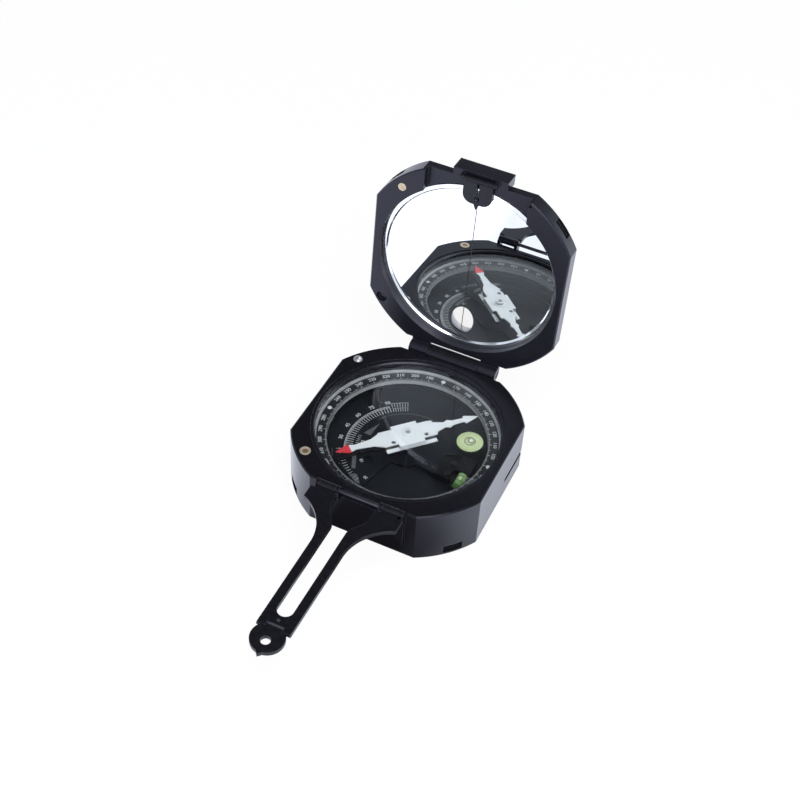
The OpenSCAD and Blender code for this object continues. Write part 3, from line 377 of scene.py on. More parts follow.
def make_paint_skin():
    """Fine orange peel of baked enamel, and slow patches of more and less gloss."""
    tree, given, result = effect(
        "paint_skin",
        (("Peel", 2600.0), ("Patch", 120.0)),
        (("Height", "NodeSocketFloat"), ("Gloss", "NodeSocketFloat")),
    )
    place = here(tree)
    peel = noise(tree, place, given.outputs["Peel"], 2.0)
    slow = noise(tree, place, given.outputs["Patch"], 3.0)
    fine = noise(tree, place, given.outputs["Peel"], 5.0)
    both = plus(tree, times(tree, slow, 0.7), times(tree, fine, 0.3))
    tree.links.new(peel, result.inputs["Height"])
    tree.links.new(both, result.inputs["Gloss"])
    return tree


def make_turned_lines():
    """Fine rings left by a lathe about the needle's axis."""
    tree, given, result = effect(
        "turned_lines",
        (("Pitch", 9000.0),),
        (("Height", "NodeSocketFloat"), ("Radius", "NodeSocketFloat")),
    )
    split = tree.nodes.new("ShaderNodeSeparateXYZ")
    tree.links.new(here(tree), split.inputs[0])
    across, along = split.outputs["X"], split.outputs["Y"]
    square = plus(tree, times(tree, across, across), times(tree, along, along))
    radius = math_node(tree, "SQRT", square)
    joined = tree.nodes.new("ShaderNodeCombineXYZ")
    tree.links.new(radius, joined.inputs["X"])
    tree.links.new(split.outputs["Z"], joined.inputs["Y"])
    lines = noise(tree, joined.outputs[0], given.outputs["Pitch"], 2.0)
    tree.links.new(lines, result.inputs["Height"])
    tree.links.new(radius, result.inputs["Radius"])
    return tree


def make_light_dust():
    """A thin uneven film of dust on faces that look up, and a few specks."""
    tree, given, result = effect("light_dust", (("Amount", 0.3),), (("Mask", "NodeSocketFloat"),))
    flat = tree.nodes.new("ShaderNodeNewGeometry")
    split = tree.nodes.new("ShaderNodeSeparateXYZ")
    tree.links.new(flat.outputs["Normal"], split.inputs[0])
    upward = math_node(tree, "MAXIMUM", split.outputs["Z"], 0.15)
    place = here(tree)
    film = band(tree, noise(tree, place, 700.0, 6.0), 0.4, 0.85)
    speck = band(tree, noise(tree, place, 5200.0, 1.0), 0.74, 0.8)
    both = math_node(tree, "MAXIMUM", film, speck)
    mask = times(tree, times(tree, both, upward), given.outputs["Amount"], True)
    tree.links.new(mask, result.inputs["Mask"])
    return tree


def make_metal_grain():
    """Fine scratches along one direction and a slow change of tone."""
    tree, given, result = effect(
        "metal_grain",
        (("Scale", 1200.0),),
        (("Height", "NodeSocketFloat"), ("Tone", "NodeSocketFloat")),
    )
    place = here(tree)
    lines = noise(tree, place, given.outputs["Scale"], 3.0, (0.12, 1.0, 1.0))
    slow = noise(tree, place, 260.0, 2.0)
    tree.links.new(lines, result.inputs["Height"])
    tree.links.new(slow, result.inputs["Tone"])
    return tree


EFFECTS = {
    "worn_edges": make_worn_edges(),
    "paint_skin": make_paint_skin(),
    "turned_lines": make_turned_lines(),
    "light_dust": make_light_dust(),
    "metal_grain": make_metal_grain(),
}


def use(tree, name, **values):
    node = tree.nodes.new("ShaderNodeGroup")
    node.node_tree = EFFECTS[name]
    for label, value in values.items():
        node.inputs[label].default_value = value
    return node.outputs


def raised(tree, height, strength, depth, normal=None):
    node = tree.nodes.new("ShaderNodeBump")
    node.inputs["Strength"].default_value = strength
    node.inputs["Distance"].default_value = depth
    tree.links.new(height, node.inputs["Height"])
    if normal is not None:
        tree.links.new(normal, node.inputs["Normal"])
    return node.outputs["Normal"]


def blank_finish(name):
    finish = bpy.data.materials.new(name)
    finish.use_nodes = True
    tree = finish.node_tree
    tree.nodes.clear()
    out = tree.nodes.new("ShaderNodeOutputMaterial")
    skin = tree.nodes.new("ShaderNodeBsdfPrincipled")
    tree.links.new(skin.outputs[0], out.inputs["Surface"])
    return finish, tree, skin


# Finishes


def hole_wall(tree, place, centre):
    """1 on the wall and inner rim of the oval hole through the open lid, where it is lightened, 0
    elsewhere.
    """
    split = tree.nodes.new("ShaderNodeSeparateXYZ")
    tree.links.new(place, split.inputs[0])
    height = math_node(tree, "ABSOLUTE", minus(tree, split.outputs["Z"], centre.z))
    height = math_node(tree, "MAXIMUM", minus(tree, height, WINDOW_HALF_L - WINDOW_R), 0.0)
    across = times(tree, split.outputs["X"], split.outputs["X"])
    away = math_node(tree, "SQRT", plus(tree, across, times(tree, height, height)))
    wall_r, rim_r, soft = 5.5 * MM, 6.1 * MM, 0.06 * MM
    floor_from, floor_to = 41.6 * MM, 42.0 * MM
    wall = below(tree, away, wall_r, wall_r + soft)
    rim = below(tree, away, rim_r, rim_r + soft)
    inside = below(tree, split.outputs["Y"], floor_from, floor_to)
    return math_node(tree, "MAXIMUM", wall, times(tree, rim, inside))


def enamel(name, colour, gloss, edge_wear_and_highlight, edge, dust=0.03, hole=False):
    """Baked black enamel on a casting, bright where its edges catch the light."""
    finish, tree, skin = blank_finish(name)
    edges = use(tree, "worn_edges", Edge=edge * MM)
    coat = use(tree, "paint_skin")
    film = use(tree, "light_dust", Amount=dust)
    # Edges are lightened to grey: partly rubbed paint, partly a painted highlight along them.
    worn = times(tree, edges["Mask"], edge_wear_and_highlight)
    lighter = tuple(min(1.0, c * 1.25 + 0.001) for c in colour)
    base = tinted(tree, coat["Gloss"], colour, lighter)
    base = tinted(tree, worn, base, (0.32, 0.32, 0.36))
    base = tinted(tree, film["Mask"], base, (0.22, 0.22, 0.24))
    if hole:
        # The hole's wall and rim are painted near-white: partly a light bored wall, partly painted light
        # standing in for the white seen through the window.
        base = tinted(tree, hole_wall(tree, here(tree), WINDOW_HOLE), base, (0.86, 0.87, 0.9))
    tree.links.new(base, skin.inputs["Base Color"])
    rough = swing(tree, coat["Gloss"], 0.08, gloss - 0.04)
    rough = plus(tree, rough, times(tree, film["Mask"], 0.5), True)
    tree.links.new(rough, skin.inputs["Roughness"])
    tree.links.new(raised(tree, coat["Height"], 0.07, 0.02 * MM, edges["Normal"]), skin.inputs["Normal"])
    skin.inputs["Specular IOR Level"].default_value = 0.4
    skin.inputs["Specular Tint"].default_value = (0.82, 0.82, 1.0, 1)
    return finish


def dial_paint(name, colour, gloss=0.42):
    """Flat dark paint of the dial's floor, with faint rings from turning the plate."""
    finish, tree, skin = blank_finish(name)
    rings = use(tree, "turned_lines", Pitch=2600.0)
    coat = use(tree, "paint_skin", Peel=3400.0, Patch=160.0)
    edges = use(tree, "worn_edges", Edge=0.12 * MM)
    lighter = tuple(c * 1.7 for c in colour)
    base = tinted(tree, coat["Gloss"], colour, lighter)
    base = tinted(tree, times(tree, edges["Mask"], 0.3), base, (0.22, 0.24, 0.27))
    tree.links.new(base, skin.inputs["Base Color"])
    tree.links.new(swing(tree, rings["Height"], 0.16, gloss - 0.08), skin.inputs["Roughness"])
    tree.links.new(raised(tree, rings["Height"], 0.12, 0.01 * MM, edges["Normal"]), skin.inputs["Normal"])
    skin.inputs["Specular IOR Level"].default_value = 0.25
    return finish


def ring_paint():
    """The graduated ring: black face, bare bright metal on its bore and on its outer lip."""
    finish, tree, skin = blank_finish("ring_black_and_bare")
    turned = use(tree, "turned_lines", Pitch=7000.0)
    coat = use(tree, "paint_skin", Peel=3800.0, Patch=300.0)
    edges = use(tree, "worn_edges", Edge=0.1 * MM)
    split = tree.nodes.new("ShaderNodeSeparateXYZ")
    tree.links.new(here(tree), split.inputs[0])
    radius, height = turned["Radius"], split.outputs["Z"]
    soft, clear, full = 0.03 * MM, 0.02 * MM, 0.1 * MM
    past_lip = band(tree, radius, RING_LIP_R - soft, RING_LIP_R + soft)
    in_bore = below(tree, radius, RING_BORE_R - soft, RING_BORE_R + soft)
    lip = times(tree, past_lip, band(tree, height, RING_TOP + clear, RING_TOP + full))
    bore = times(tree, in_bore, below(tree, height, RING_TOP - full, RING_TOP - clear))
    bare = math_node(tree, "MAXIMUM", lip, bore)
    black = tinted(tree, coat["Gloss"], (0.008, 0.009, 0.012), (0.016, 0.017, 0.021))
    metal = tinted(tree, turned["Height"], (0.58, 0.60, 0.63), (0.80, 0.82, 0.85))
    tree.links.new(tinted(tree, bare, black, metal), skin.inputs["Base Color"])
    tree.links.new(times(tree, bare, 0.5), skin.inputs["Metallic"])
    tree.links.new(swing(tree, turned["Height"], 0.15, 0.27), skin.inputs["Roughness"])
    tree.links.new(raised(tree, turned["Height"], 0.15, 0.01 * MM, edges["Normal"]), skin.inputs["Normal"])
    return finish


def metal(name, colour, gloss, dark=None, edge_wear_and_highlight=0.4, bare=1.0):
    """Bare or plated metal with a straight grain; a lower bare makes it duller."""
    finish, tree, skin = blank_finish(name)
    edges = use(tree, "worn_edges", Edge=0.12 * MM)
    marks = use(tree, "metal_grain")
    film = use(tree, "light_dust", Amount=0.15)
    dark = dark or tuple(c * 0.62 for c in colour)
    bright = tuple(min(1.0, c * 1.12 + 0.03) for c in colour)
    base = tinted(tree, band(tree, marks["Tone"], 0.3, 0.7), dark, colour)
    # Edges are brightened: partly worn metal, partly a painted highlight along them.
    base = tinted(tree, times(tree, edges["Mask"], edge_wear_and_highlight), base, bright)
    base = tinted(tree, film["Mask"], base, tuple(c * 0.5 for c in colour))
    tree.links.new(base, skin.inputs["Base Color"])
    skin.inputs["Metallic"].default_value = bare
    rough = swing(tree, marks["Height"], 0.18, gloss - 0.08)
    rough = plus(tree, rough, times(tree, film["Mask"], 0.4), True)
    tree.links.new(rough, skin.inputs["Roughness"])
    tree.links.new(raised(tree, marks["Height"], 0.18, 0.01 * MM, edges["Normal"]), skin.inputs["Normal"])
    return finish


def moulded_plastic(name, colour, gloss):
    finish, tree, skin = blank_finish(name)
    skin.inputs["Specular IOR Level"].default_value = 0.25
    coat = use(tree, "paint_skin", Peel=4200.0, Patch=380.0)
    edges = use(tree, "worn_edges", Edge=0.18 * MM)
    base = tinted(tree, coat["Gloss"], colour, tuple(c * 1.6 + 0.002 for c in colour))
    base = tinted(tree, times(tree, edges["Mask"], 0.12), base, (0.2, 0.2, 0.22))
    tree.links.new(base, skin.inputs["Base Color"])
    tree.links.new(swing(tree, coat["Gloss"], 0.2, gloss - 0.1), skin.inputs["Roughness"])
    tree.links.new(raised(tree, coat["Height"], 0.2, 0.02 * MM, edges["Normal"]), skin.inputs["Normal"])
    return finish


def soft_stuff(name, colour, gloss, peel=1800.0, depth=0.5):
    """Gasket rubber and pad felt."""
    finish, tree, skin = blank_finish(name)
    coat = use(tree, "paint_skin", Peel=peel, Patch=200.0)
    deep = tuple(c * 0.7 for c in colour)
    pale = tuple(c * 1.25 for c in colour)
    tree.links.new(tinted(tree, coat["Gloss"], deep, pale), skin.inputs["Base Color"])
    tree.links.new(swing(tree, coat["Gloss"], 0.2, gloss - 0.1), skin.inputs["Roughness"])
    tree.links.new(raised(tree, coat["Height"], depth, 0.05 * MM), skin.inputs["Normal"])
    skin.inputs["Sheen Weight"].default_value = 0.1
    return finish


def needle_paint():
    """White enamel on the needle, red at the north end."""
    finish, tree, skin = blank_finish("needle_white_and_red")
    coat = use(tree, "paint_skin", Peel=3000.0, Patch=420.0)
    edges = use(tree, "worn_edges", Edge=0.1 * MM, Scale=1400.0)
    place = here(tree)
    along = tree.nodes.new("ShaderNodeVectorMath")
    along.operation = "DOT_PRODUCT"
    tree.links.new(place, along.inputs[0])
    along.inputs[1].default_value = NEEDLE_LINE
    tip = band(tree, along.outputs["Value"], 19.35 * MM, 19.5 * MM)
    white = tinted(tree, coat["Gloss"], (0.74, 0.79, 0.84), (0.86, 0.90, 0.95))
    white = tinted(tree, times(tree, edges["Mask"], 0.25), white, (0.55, 0.58, 0.6))
    red = tinted(tree, coat["Gloss"], (0.62, 0.03, 0.05), (0.80, 0.06, 0.08))
    tree.links.new(tinted(tree, tip, white, red), skin.inputs["Base Color"])
    tree.links.new(swing(tree, coat["Gloss"], 0.15, 0.3), skin.inputs["Roughness"])
    tree.links.new(raised(tree, coat["Height"], 0.08, 0.02 * MM, edges["Normal"]), skin.inputs["Normal"])
    return finish


def print_ink(name, colour, faded):
    """Printed marks, also used for painted reflections, a little uneven where the ink is thin."""
    finish, tree, skin = blank_finish(name)
    coat = use(tree, "paint_skin", Peel=2400.0, Patch=900.0)
    thin = band(tree, coat["Gloss"], 0.35, 0.6)
    tree.links.new(tinted(tree, thin, faded, colour), skin.inputs["Base Color"])
    tree.links.new(swing(tree, coat["Gloss"], 0.2, 0.35), skin.inputs["Roughness"])
    tree.links.new(raised(tree, coat["Height"], 0.1, 0.01 * MM), skin.inputs["Normal"])
    return finish


def level_fluid(name, colour, deep, centre):
    """Coloured spirit behind its glass, with painted shade: lighter in the middle, darker towards the
    wall.
    """
    finish, tree, skin = blank_finish(name)
    place = here(tree)
    # Painted shade: the spirit is darkened with distance from the level's middle.
    depth = band(tree, far_from(tree, place, centre), 1.0 * MM, 5.0 * MM)
    haze = noise(tree, place, 600.0, 2.0)
    base = tinted(tree, depth, colour, deep)
    base = tinted(tree, times(tree, band(tree, haze, 0.4, 0.8), 0.25), base, deep)
    tree.links.new(base, skin.inputs["Base Color"])
    tree.links.new(swing(tree, haze, 0.05, 0.04), skin.inputs["Roughness"])
    skin.inputs["Coat Weight"].default_value = 0.8
    skin.inputs["Coat Roughness"].default_value = 0.03
    skin.inputs["Specular IOR Level"].default_value = 0.6
    return finish


def clear_glass(name, tint):
    """Clear glass that lets the light through to the dial, with faint smears on it."""
    finish, tree, skin = blank_finish(name)
    out = next(n for n in tree.nodes if n.type == "OUTPUT_MATERIAL")
    skin.inputs["Base Color"].default_value = (*tint, 1)
    skin.inputs["Transmission Weight"].default_value = 1.0
    skin.inputs["IOR"].default_value = 1.5
    smears = noise(tree, here(tree), 90.0, 4.0, (1.0, 2.6, 1.0))
    tree.links.new(times(tree, band(tree, smears, 0.5, 0.8), 0.012), skin.inputs["Roughness"])
    path = tree.nodes.new("ShaderNodeLightPath")
    through = tree.nodes.new("ShaderNodeBsdfTransparent")
    through.inputs["Color"].default_value = (0.95, 0.96, 0.96, 1)
    mix = tree.nodes.new("ShaderNodeMixShader")
    tree.links.new(path.outputs["Is Shadow Ray"], mix.inputs[0])
    tree.links.new(skin.outputs[0], mix.inputs[1])
    tree.links.new(through.outputs[0], mix.inputs[2])
    tree.links.new(mix.outputs[0], out.inputs["Surface"])
    return finish


def silvered_glass():
    """Mirror silver with a clear oval window for sighting, and light smears."""
    finish, tree, skin = blank_finish("mirror_silver")
    place = here(tree)
    smears = noise(tree, place, 70.0, 4.0, (1.0, 1.0, 2.4))
    silver = tinted(tree, band(tree, smears, 0.4, 0.75), (0.93, 0.94, 0.95), (0.86, 0.88, 0.89))
    tree.links.new(silver, skin.inputs["Base Color"])
    skin.inputs["Metallic"].default_value = 1.0
    tree.links.new(times(tree, band(tree, smears, 0.5, 0.85), 0.03), skin.inputs["Roughness"])
    oval = tree.nodes.new("ShaderNodeMapping")
    squash = WINDOW_R / WINDOW_HALF_L
    oval.inputs["Scale"].default_value = (1.0, 1.0, squash)
    tree.links.new(place, oval.inputs["Vector"])
    middle = (WINDOW.x, WINDOW.y, WINDOW.z * squash)
    away = far_from(tree, oval.outputs["Vector"], middle)
    solid = band(tree, away, WINDOW_R - 0.03 * MM, WINDOW_R + 0.03 * MM)
    side = tree.nodes.new("ShaderNodeNewGeometry")
    solid = times(tree, solid, minus(tree, 1.0, side.outputs["Backfacing"]))
    tree.links.new(math_node(tree, "MAXIMUM", solid, 0.05), skin.inputs["Alpha"])
    return finish


# Helpers for pieces


def only(piece):
    bpy.ops.object.select_all(action="DESELECT")
    piece.select_set(True)
    bpy.context.view_layer.objects.active = piece
    return piece


def settle(piece):
    """The piece's place goes into its mesh."""
    only(piece)
    bpy.ops.object.transform_apply(location=True, rotation=True, scale=True)
    return piece


def start(kind, **sizes):
    bpy.ops.object.select_all(action="DESELECT")
    getattr(bpy.ops.mesh, f"primitive_{kind}_add")(**sizes)
    return settle(bpy.context.active_object)


def pick(piece, wanted):
    """Selects the faces that wanted(centre, normal) names, and opens the piece for work on them."""
    mesh = only(piece).data
    mesh.vertices.foreach_set("select", [False] * len(mesh.vertices))
    mesh.edges.foreach_set("select", [False] * len(mesh.edges))
    for face in mesh.polygons:
        face.select = bool(wanted(face.center, face.normal))
    bpy.ops.object.mode_set(mode="EDIT")
    bpy.context.tool_settings.mesh_select_mode = (False, False, True)


def close_edit():
    bpy.ops.object.mode_set(mode="OBJECT")


def everything(piece):
    only(piece)
    bpy.ops.object.mode_set(mode="EDIT")
    bpy.context.tool_settings.mesh_select_mode = (True, False, False)
    bpy.ops.mesh.select_all(action="SELECT")


def apply_all(piece):
    only(piece)
    for modifier in list(piece.modifiers):
        bpy.ops.object.modifier_apply(modifier=modifier.name)


def rounded(piece, width, segments=2):
    modifier = piece.modifiers.new("rounded", "BEVEL")
    modifier.width = width
    modifier.segments = segments
    modifier.limit_method = "ANGLE"
    modifier.angle_limit = math.radians(35)
    apply_all(piece)


def fan(piece, count, sweep):
    """Copies what is in the piece round the needle's axis, against the clock."""
    everything(piece)
    bpy.ops.mesh.spin(
        steps=count, angle=-math.radians(sweep), center=(0, 0, 0), axis=(0, 0, 1), dupli=True
    )
    close_edit()


def turn(piece, degrees):
    """Turns the piece against the clock about the needle's axis."""
    piece.matrix_world = Matrix.Rotation(math.radians(degrees), 4, "Z")
    return settle(piece)


def smooth(piece):
    only(piece)
    bpy.ops.object.shade_smooth_by_angle(angle=math.radians(40))
    return piece


def thicken(depth):
    """Pulls the open flat piece up by depth, with its normals outward, and closes it."""
    bpy.ops.mesh.select_all(action="SELECT")
    bpy.ops.mesh.extrude_region_move(TRANSFORM_OT_translate={"value": (0, 0, depth)})
    bpy.ops.mesh.select_all(action="SELECT")
    bpy.ops.mesh.normals_make_consistent(inside=False)
    close_edit()


def bubble_cap(segments, rings, radius, place, cut):
    """The top of a squashed ball, above the height cut."""
    cap = start("uv_sphere", segments=segments, ring_count=rings, radius=radius)
    cap.matrix_world = place
    settle(cap)
    everything(cap)
    bpy.ops.mesh.bisect(plane_co=(0, 0, cut), plane_no=(0, 0, 1), clear_inner=True, use_fill=True)
    close_edit()
    return smooth(cap)


def join(pieces):
    bpy.ops.object.select_all(action="DESELECT")
    for piece in pieces:
        piece.select_set(True)
    bpy.context.view_layer.objects.active = pieces[0]
    if len(pieces) > 1:
        bpy.ops.object.join()
    return settle(bpy.context.active_object)


def fit(piece, name, body, finish):
    """Names a finished piece, gives it its finish and lets it ride on its body."""
    piece.name = name
    piece.data.name = name
    piece.data.materials.clear()
    piece.data.materials.append(finish)
    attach(piece, body)


def printed_bar(r_in, r_out, width, base, degrees=0.0):
    """One printed line that points away from the needle's axis."""
    bar = start(
        "cube", size=1, location=((r_in + r_out) / 2 * MM, 0, base + PRINT_T / 2),
        scale=((r_out - r_in) * MM, width * MM, PRINT_T),
    )
    pick(bar, lambda c, n: n.z > 0.9)
    bpy.ops.mesh.inset(thickness=width * 0.12 * MM, depth=0)
    close_edit()
    return turn(bar, degrees) if degrees else bar


def printed_word(text, radius, degrees, base, size):
    """A printed number whose top points away from the needle's axis."""
    bpy.ops.object.select_all(action="DESELECT")
    bpy.ops.object.text_add()
    word = bpy.context.active_object
    word.data.body = text
    word.data.size = size * MM
    word.data.extrude = PRINT_T / 2
    word.data.offset = 0.012 * MM
    word.data.resolution_u = 3
    word.data.align_x = "CENTER"
    word.data.align_y = "CENTER"
    bpy.ops.object.convert(target="MESH")
    word = bpy.context.active_object
    word.matrix_world = Matrix.Translation(
        polar(radius * MM, degrees, base + PRINT_T / 2)
    ) @ Matrix.Rotation(math.radians(degrees - 90), 4, "Z")
    return settle(word)


def printed_disc(radius, centre, base, hole=0.0):
    """A printed dot, or a ring where hole is given."""
    place = (*centre[:2], base)
    dot = start("circle", vertices=48, radius=radius * MM, fill_type="NGON", location=place)
    pick(dot, lambda c, n: True)
    if hole:
        bpy.ops.mesh.inset(thickness=(radius - hole) * MM, depth=0)
        bpy.ops.mesh.delete(type="FACE")
    thicken(PRINT_T)
    return dot


def printed_patch(corners, base):
    """A printed patch with straight sides, from its corners in millimetres."""
    patch = start("circle", vertices=len(corners), radius=1 * MM, fill_type="NGON", location=(0, 0, base))
    for vertex, corner in zip(patch.data.vertices, corners):
        vertex.co = (corner[0] * MM, corner[1] * MM, base)
    pick(patch, lambda c, n: True)
    bpy.ops.mesh.inset(thickness=0.15 * MM, depth=0)
    thicken(PRINT_T)
    return patch


def printed_arc(radius, width, first, last, base):
    """A thin printed line round the needle's axis."""
    steps = max(4, int(abs(last - first) / 2.5))
    line = start(
        "cube", size=1, location=(radius * MM, 0, base + PRINT_T / 2),
        scale=(width * MM, 0.02 * MM, PRINT_T),
    )
    pick(line, lambda c, n: n.y > 0.9)
    bpy.ops.mesh.delete(type="FACE")
    close_edit()
    pick(line, lambda c, n: n.y < -0.9)
    bpy.ops.mesh.spin(steps=steps, angle=-math.radians(last - first), center=(0, 0, 0), axis=(0, 0, 1))
    bpy.ops.mesh.select_all(action="SELECT")
    bpy.ops.mesh.remove_doubles(threshold=0.002 * MM)
    bpy.ops.mesh.normals_make_consistent(inside=False)
    close_edit()
    return turn(line, first)


# Pieces


def ring_prints(ink):
    """Degrees of the graduated ring: a line each degree, numbers each ten, dots at the quarters."""
    lines = []
    for step, line_end, width in ((1, 26.22, 0.09), (5, 26.5, 0.13), (10, 26.75, 0.16)):
        lines.append(printed_bar(RING_LINES_R, line_end, width, RING_TOP))
        fan(lines[-1], 360 // step - 1, 360 - step)
    fit(join(lines), "ring_degree_lines", "graduated_ring", ink)
    numbers = [
        printed_word(str(v), 27.82, v - 90, RING_TOP, 1.75)
        for v in range(10, 360, 10)
        if v % 90
    ]
    fit(join(numbers), "ring_degree_numbers", "graduated_ring", ink)
    dots = [printed_disc(0.72, polar(27.75 * MM, d), RING_TOP) for d in (0, 90, 180, 270)]
    fit(join(dots), "ring_quarter_dots", "graduated_ring", ink)


def dial_prints(ink, grey):
    """Slope scale on the dial's floor, a short inner scale, two rows of lines, grey arcs and a grey wedge
    of painted reflection.
    """
    zero, last = 222, 132
    scale_edge = 20.1
    long_lines = printed_bar(17.4, scale_edge, 0.17, DIAL_TOP, last)
    fan(long_lines, 30, 90)
    short_lines = printed_bar(19.3, scale_edge, 0.1, DIAL_TOP, last)
    fan(short_lines, 90, 90)
    edge_line = printed_arc(scale_edge + 0.05, 0.12, last, zero, DIAL_TOP)
    inner_lines = printed_bar(15.6, 16.7, 0.12, DIAL_TOP, 184)
    fan(inner_lines, 12, 36)
    lines = [long_lines, short_lines, edge_line, inner_lines]
    fit(join(lines), "slope_scale_lines", "case", ink)
    numbers = [
        printed_word(str(v), 21.75, zero - v, DIAL_TOP, 1.9) for v in (0, 15, 30, 45, 60, 75, 90)
    ]
    numbers += [printed_word(str(v), 14.5, 218 - v, DIAL_TOP, 1.5) for v in (0, 25)]
    fit(join(numbers), "slope_scale_numbers", "case", ink)
    rows = []
    for r_in, r_out in ((17.4, 18.6), (19.4, 20.9)):
        rows.append(printed_bar(r_in, r_out, 0.13, DIAL_TOP, 114))
        fan(rows[-1], 6, 15)
    for radius in (18.9, 21.2):
        rows.append(printed_arc(radius, 0.1, 113.5, 129.5, DIAL_TOP))
    fit(join(rows), "grade_rows", "case", ink)
    # Painted reflection: the grey wedge stands in for a reflection of the white surroundings.
    wedge = printed_patch(((-15.6, 0.5), (-13.2, 0.4), (-12.8, 6.6)), DIAL_TOP)
    outer_arc = printed_arc(23.9, 0.16, 205, 335, DIAL_TOP)
    inner_arc = printed_arc(16.2, 0.14, 70, 150, DIAL_TOP)
    fit(join([wedge, outer_arc, inner_arc]), "floor_grey_marks_and_reflection", "case", grey)


def vernier_prints(ink, grey):
    """Reading marks of the clinometer's vernier plate, and two grey patches of painted reflection."""
    # Painted reflection: these two grey patches stand in for reflections of the white surroundings.
    bar = printed_patch(((-13.9, -11.4), (-12.9, -10.1), (-10.6, -15.7), (-11.7, -16.2)), VERNIER_TOP)
    block = printed_patch(((-11.4, -18.6), (-9.1, -17.6), (-6.5, -20.7), (-7.9, -20.9)), VERNIER_TOP)
    fit(join([bar, block]), "vernier_painted_reflections", "clinometer", grey)
    lines = printed_bar(20.4, 21.9, 0.13, VERNIER_TOP, 211)
    fan(lines, 12, 36)
    numbers = [
        printed_word("10", 15.6, 229, VERNIER_TOP, 1.5),
        printed_word("30", 18.6, 251, VERNIER_TOP, 1.4),
    ]
    fit(join([lines, *numbers]), "vernier_lines", "clinometer", ink)


def needle_dress(white, steel):
    """The pressed bead round the needle's cap and the jewel's bright rim."""
    bead = start("circle", vertices=64, radius=2.75 * MM, fill_type="NGON", location=(0, 0, NEEDLE_TOP))
    pick(bead, lambda c, n: True)
    bpy.ops.mesh.inset(thickness=0.42 * MM, depth=0)
    bpy.ops.mesh.delete(type="FACE")
    thicken(0.13 * MM)
    rounded(bead, 0.09 * MM, 3)
    fit(bead, "needle_cap_bead", "needle", white)
    rim = start("cylinder", vertices=48, radius=0.8 * MM, depth=0.3 * MM, location=(0, 0, 16.66 * MM))
    pick(rim, lambda c, n: n.z > 0.9)
    bpy.ops.mesh.inset(thickness=0.3 * MM, depth=0)
    bpy.ops.mesh.extrude_region_move(TRANSFORM_OT_translate={"value": (0, 0, -0.15 * MM)})
    close_edit()
    rounded(rim, 0.05 * MM, 2)
    fit(rim, "needle_jewel_rim", "needle", steel)


def round_level_dress(fluid, line, bubble_glass):
    """Domed vial of the round level, its two target rings and its bubble."""
    low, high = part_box("round_level_vial")
    vial = start(
        "cylinder", vertices=96, radius=(high.x - low.x) / 2, depth=high.z - low.z,
        location=((low.x + high.x) / 2, (low.y + high.y) / 2, (low.z + high.z) / 2),
    )
    pick(vial, lambda c, n: n.z > 0.9)
    for rise in (0.075, 0.05, 0.03, 0.012):
        bpy.ops.mesh.inset(thickness=0.85 * MM, depth=0.0)
        bpy.ops.transform.translate(value=(0, 0, rise * MM))
    close_edit()
    rounded(vial, 0.12 * MM, 3)
    smooth(vial)
    fit(vial, "round_level_glass", "clinometer", fluid)
    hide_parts("round_level_vial")
    top = high.z + 0.15 * MM
    rings = [
        printed_disc(1.86, ROUND_LEVEL, top, 1.72),
        printed_disc(1.5, ROUND_LEVEL, top + 0.02 * MM, 1.4),
    ]
    fit(join(rings), "round_level_target", "clinometer", line)
    place = Matrix.Translation(
        (ROUND_LEVEL.x + 0.25 * MM, ROUND_LEVEL.y + 0.35 * MM, high.z + 0.16 * MM)
    ) @ Matrix.Diagonal((1, 1, 0.1, 1))
    bubble = bubble_cap(48, 24, 1.15 * MM, place, top)
    fit(bubble, "round_level_bubble", "clinometer", bubble_glass)


def tube_level_dress(line, bubble_glass):
    """Lines and bubble of the tubular level."""
    along = Matrix.Translation(TUBE_LEVEL) @ Matrix.Rotation(math.radians(TUBE_LEVEL_TURN), 4, "Z")
    upright = Matrix.Rotation(math.radians(90), 4, "X")
    wall = 0.08 * MM

    def hoop(place):
        piece = start("cylinder", vertices=48, radius=1.66 * MM, depth=2 * wall, end_fill_type="NOTHING")
        skin = piece.modifiers.new("wall", "SOLIDIFY")
        skin.thickness = wall
        skin.offset = -1
        apply_all(piece)
        piece.matrix_world = along @ Matrix.Translation((0, place * MM, 0)) @ upright
        settle(piece)
        rounded(piece, wall * 0.3)
        return piece

    lines = [hoop(place) for place in (-3.7, -1.7, 1.7, 3.7)]
    fit(join(lines), "tube_level_lines", "clinometer", line)
    place = along @ Matrix.Translation((0, -2.7 * MM, 1.0 * MM)) @ Matrix.Diagonal((1, 2.2, 0.85, 1))
    bubble = bubble_cap(32, 20, 0.8 * MM, place, TUBE_LEVEL.z + 0.9 * MM)
    fit(bubble, "tube_level_bubble", "clinometer", bubble_glass)


def sighting_line(black):
    """The fine line down the mirror's middle and across its window."""
    line = start(
        "cube", size=1, location=(0, -0.75 * MM, 22.77 * MM), scale=(0.24 * MM, 53.3 * MM, 0.03 * MM)
    )
    everything(line)
    bpy.ops.mesh.subdivide(number_cuts=6)
    close_edit()
    rounded(line, 0.006 * MM, 1)
    line.matrix_world = LID_OPEN
    settle(line)
    fit(line, "sighting_line", "lid", black)


# Putting it together

put_camera()
white_room()
table_top()
soft_lamp("lamp_over", (0.5, 0.5), (0.22, -0.30, 0.75), (0, 0, 0.02), 3.2, (1.0, 0.99, 0.98))
soft_lamp("lamp_front", (0.6, 0.5), (0.45, -0.6, 0.45), (0, 0, 0.03), 1.5, (0.95, 0.97, 1.0))

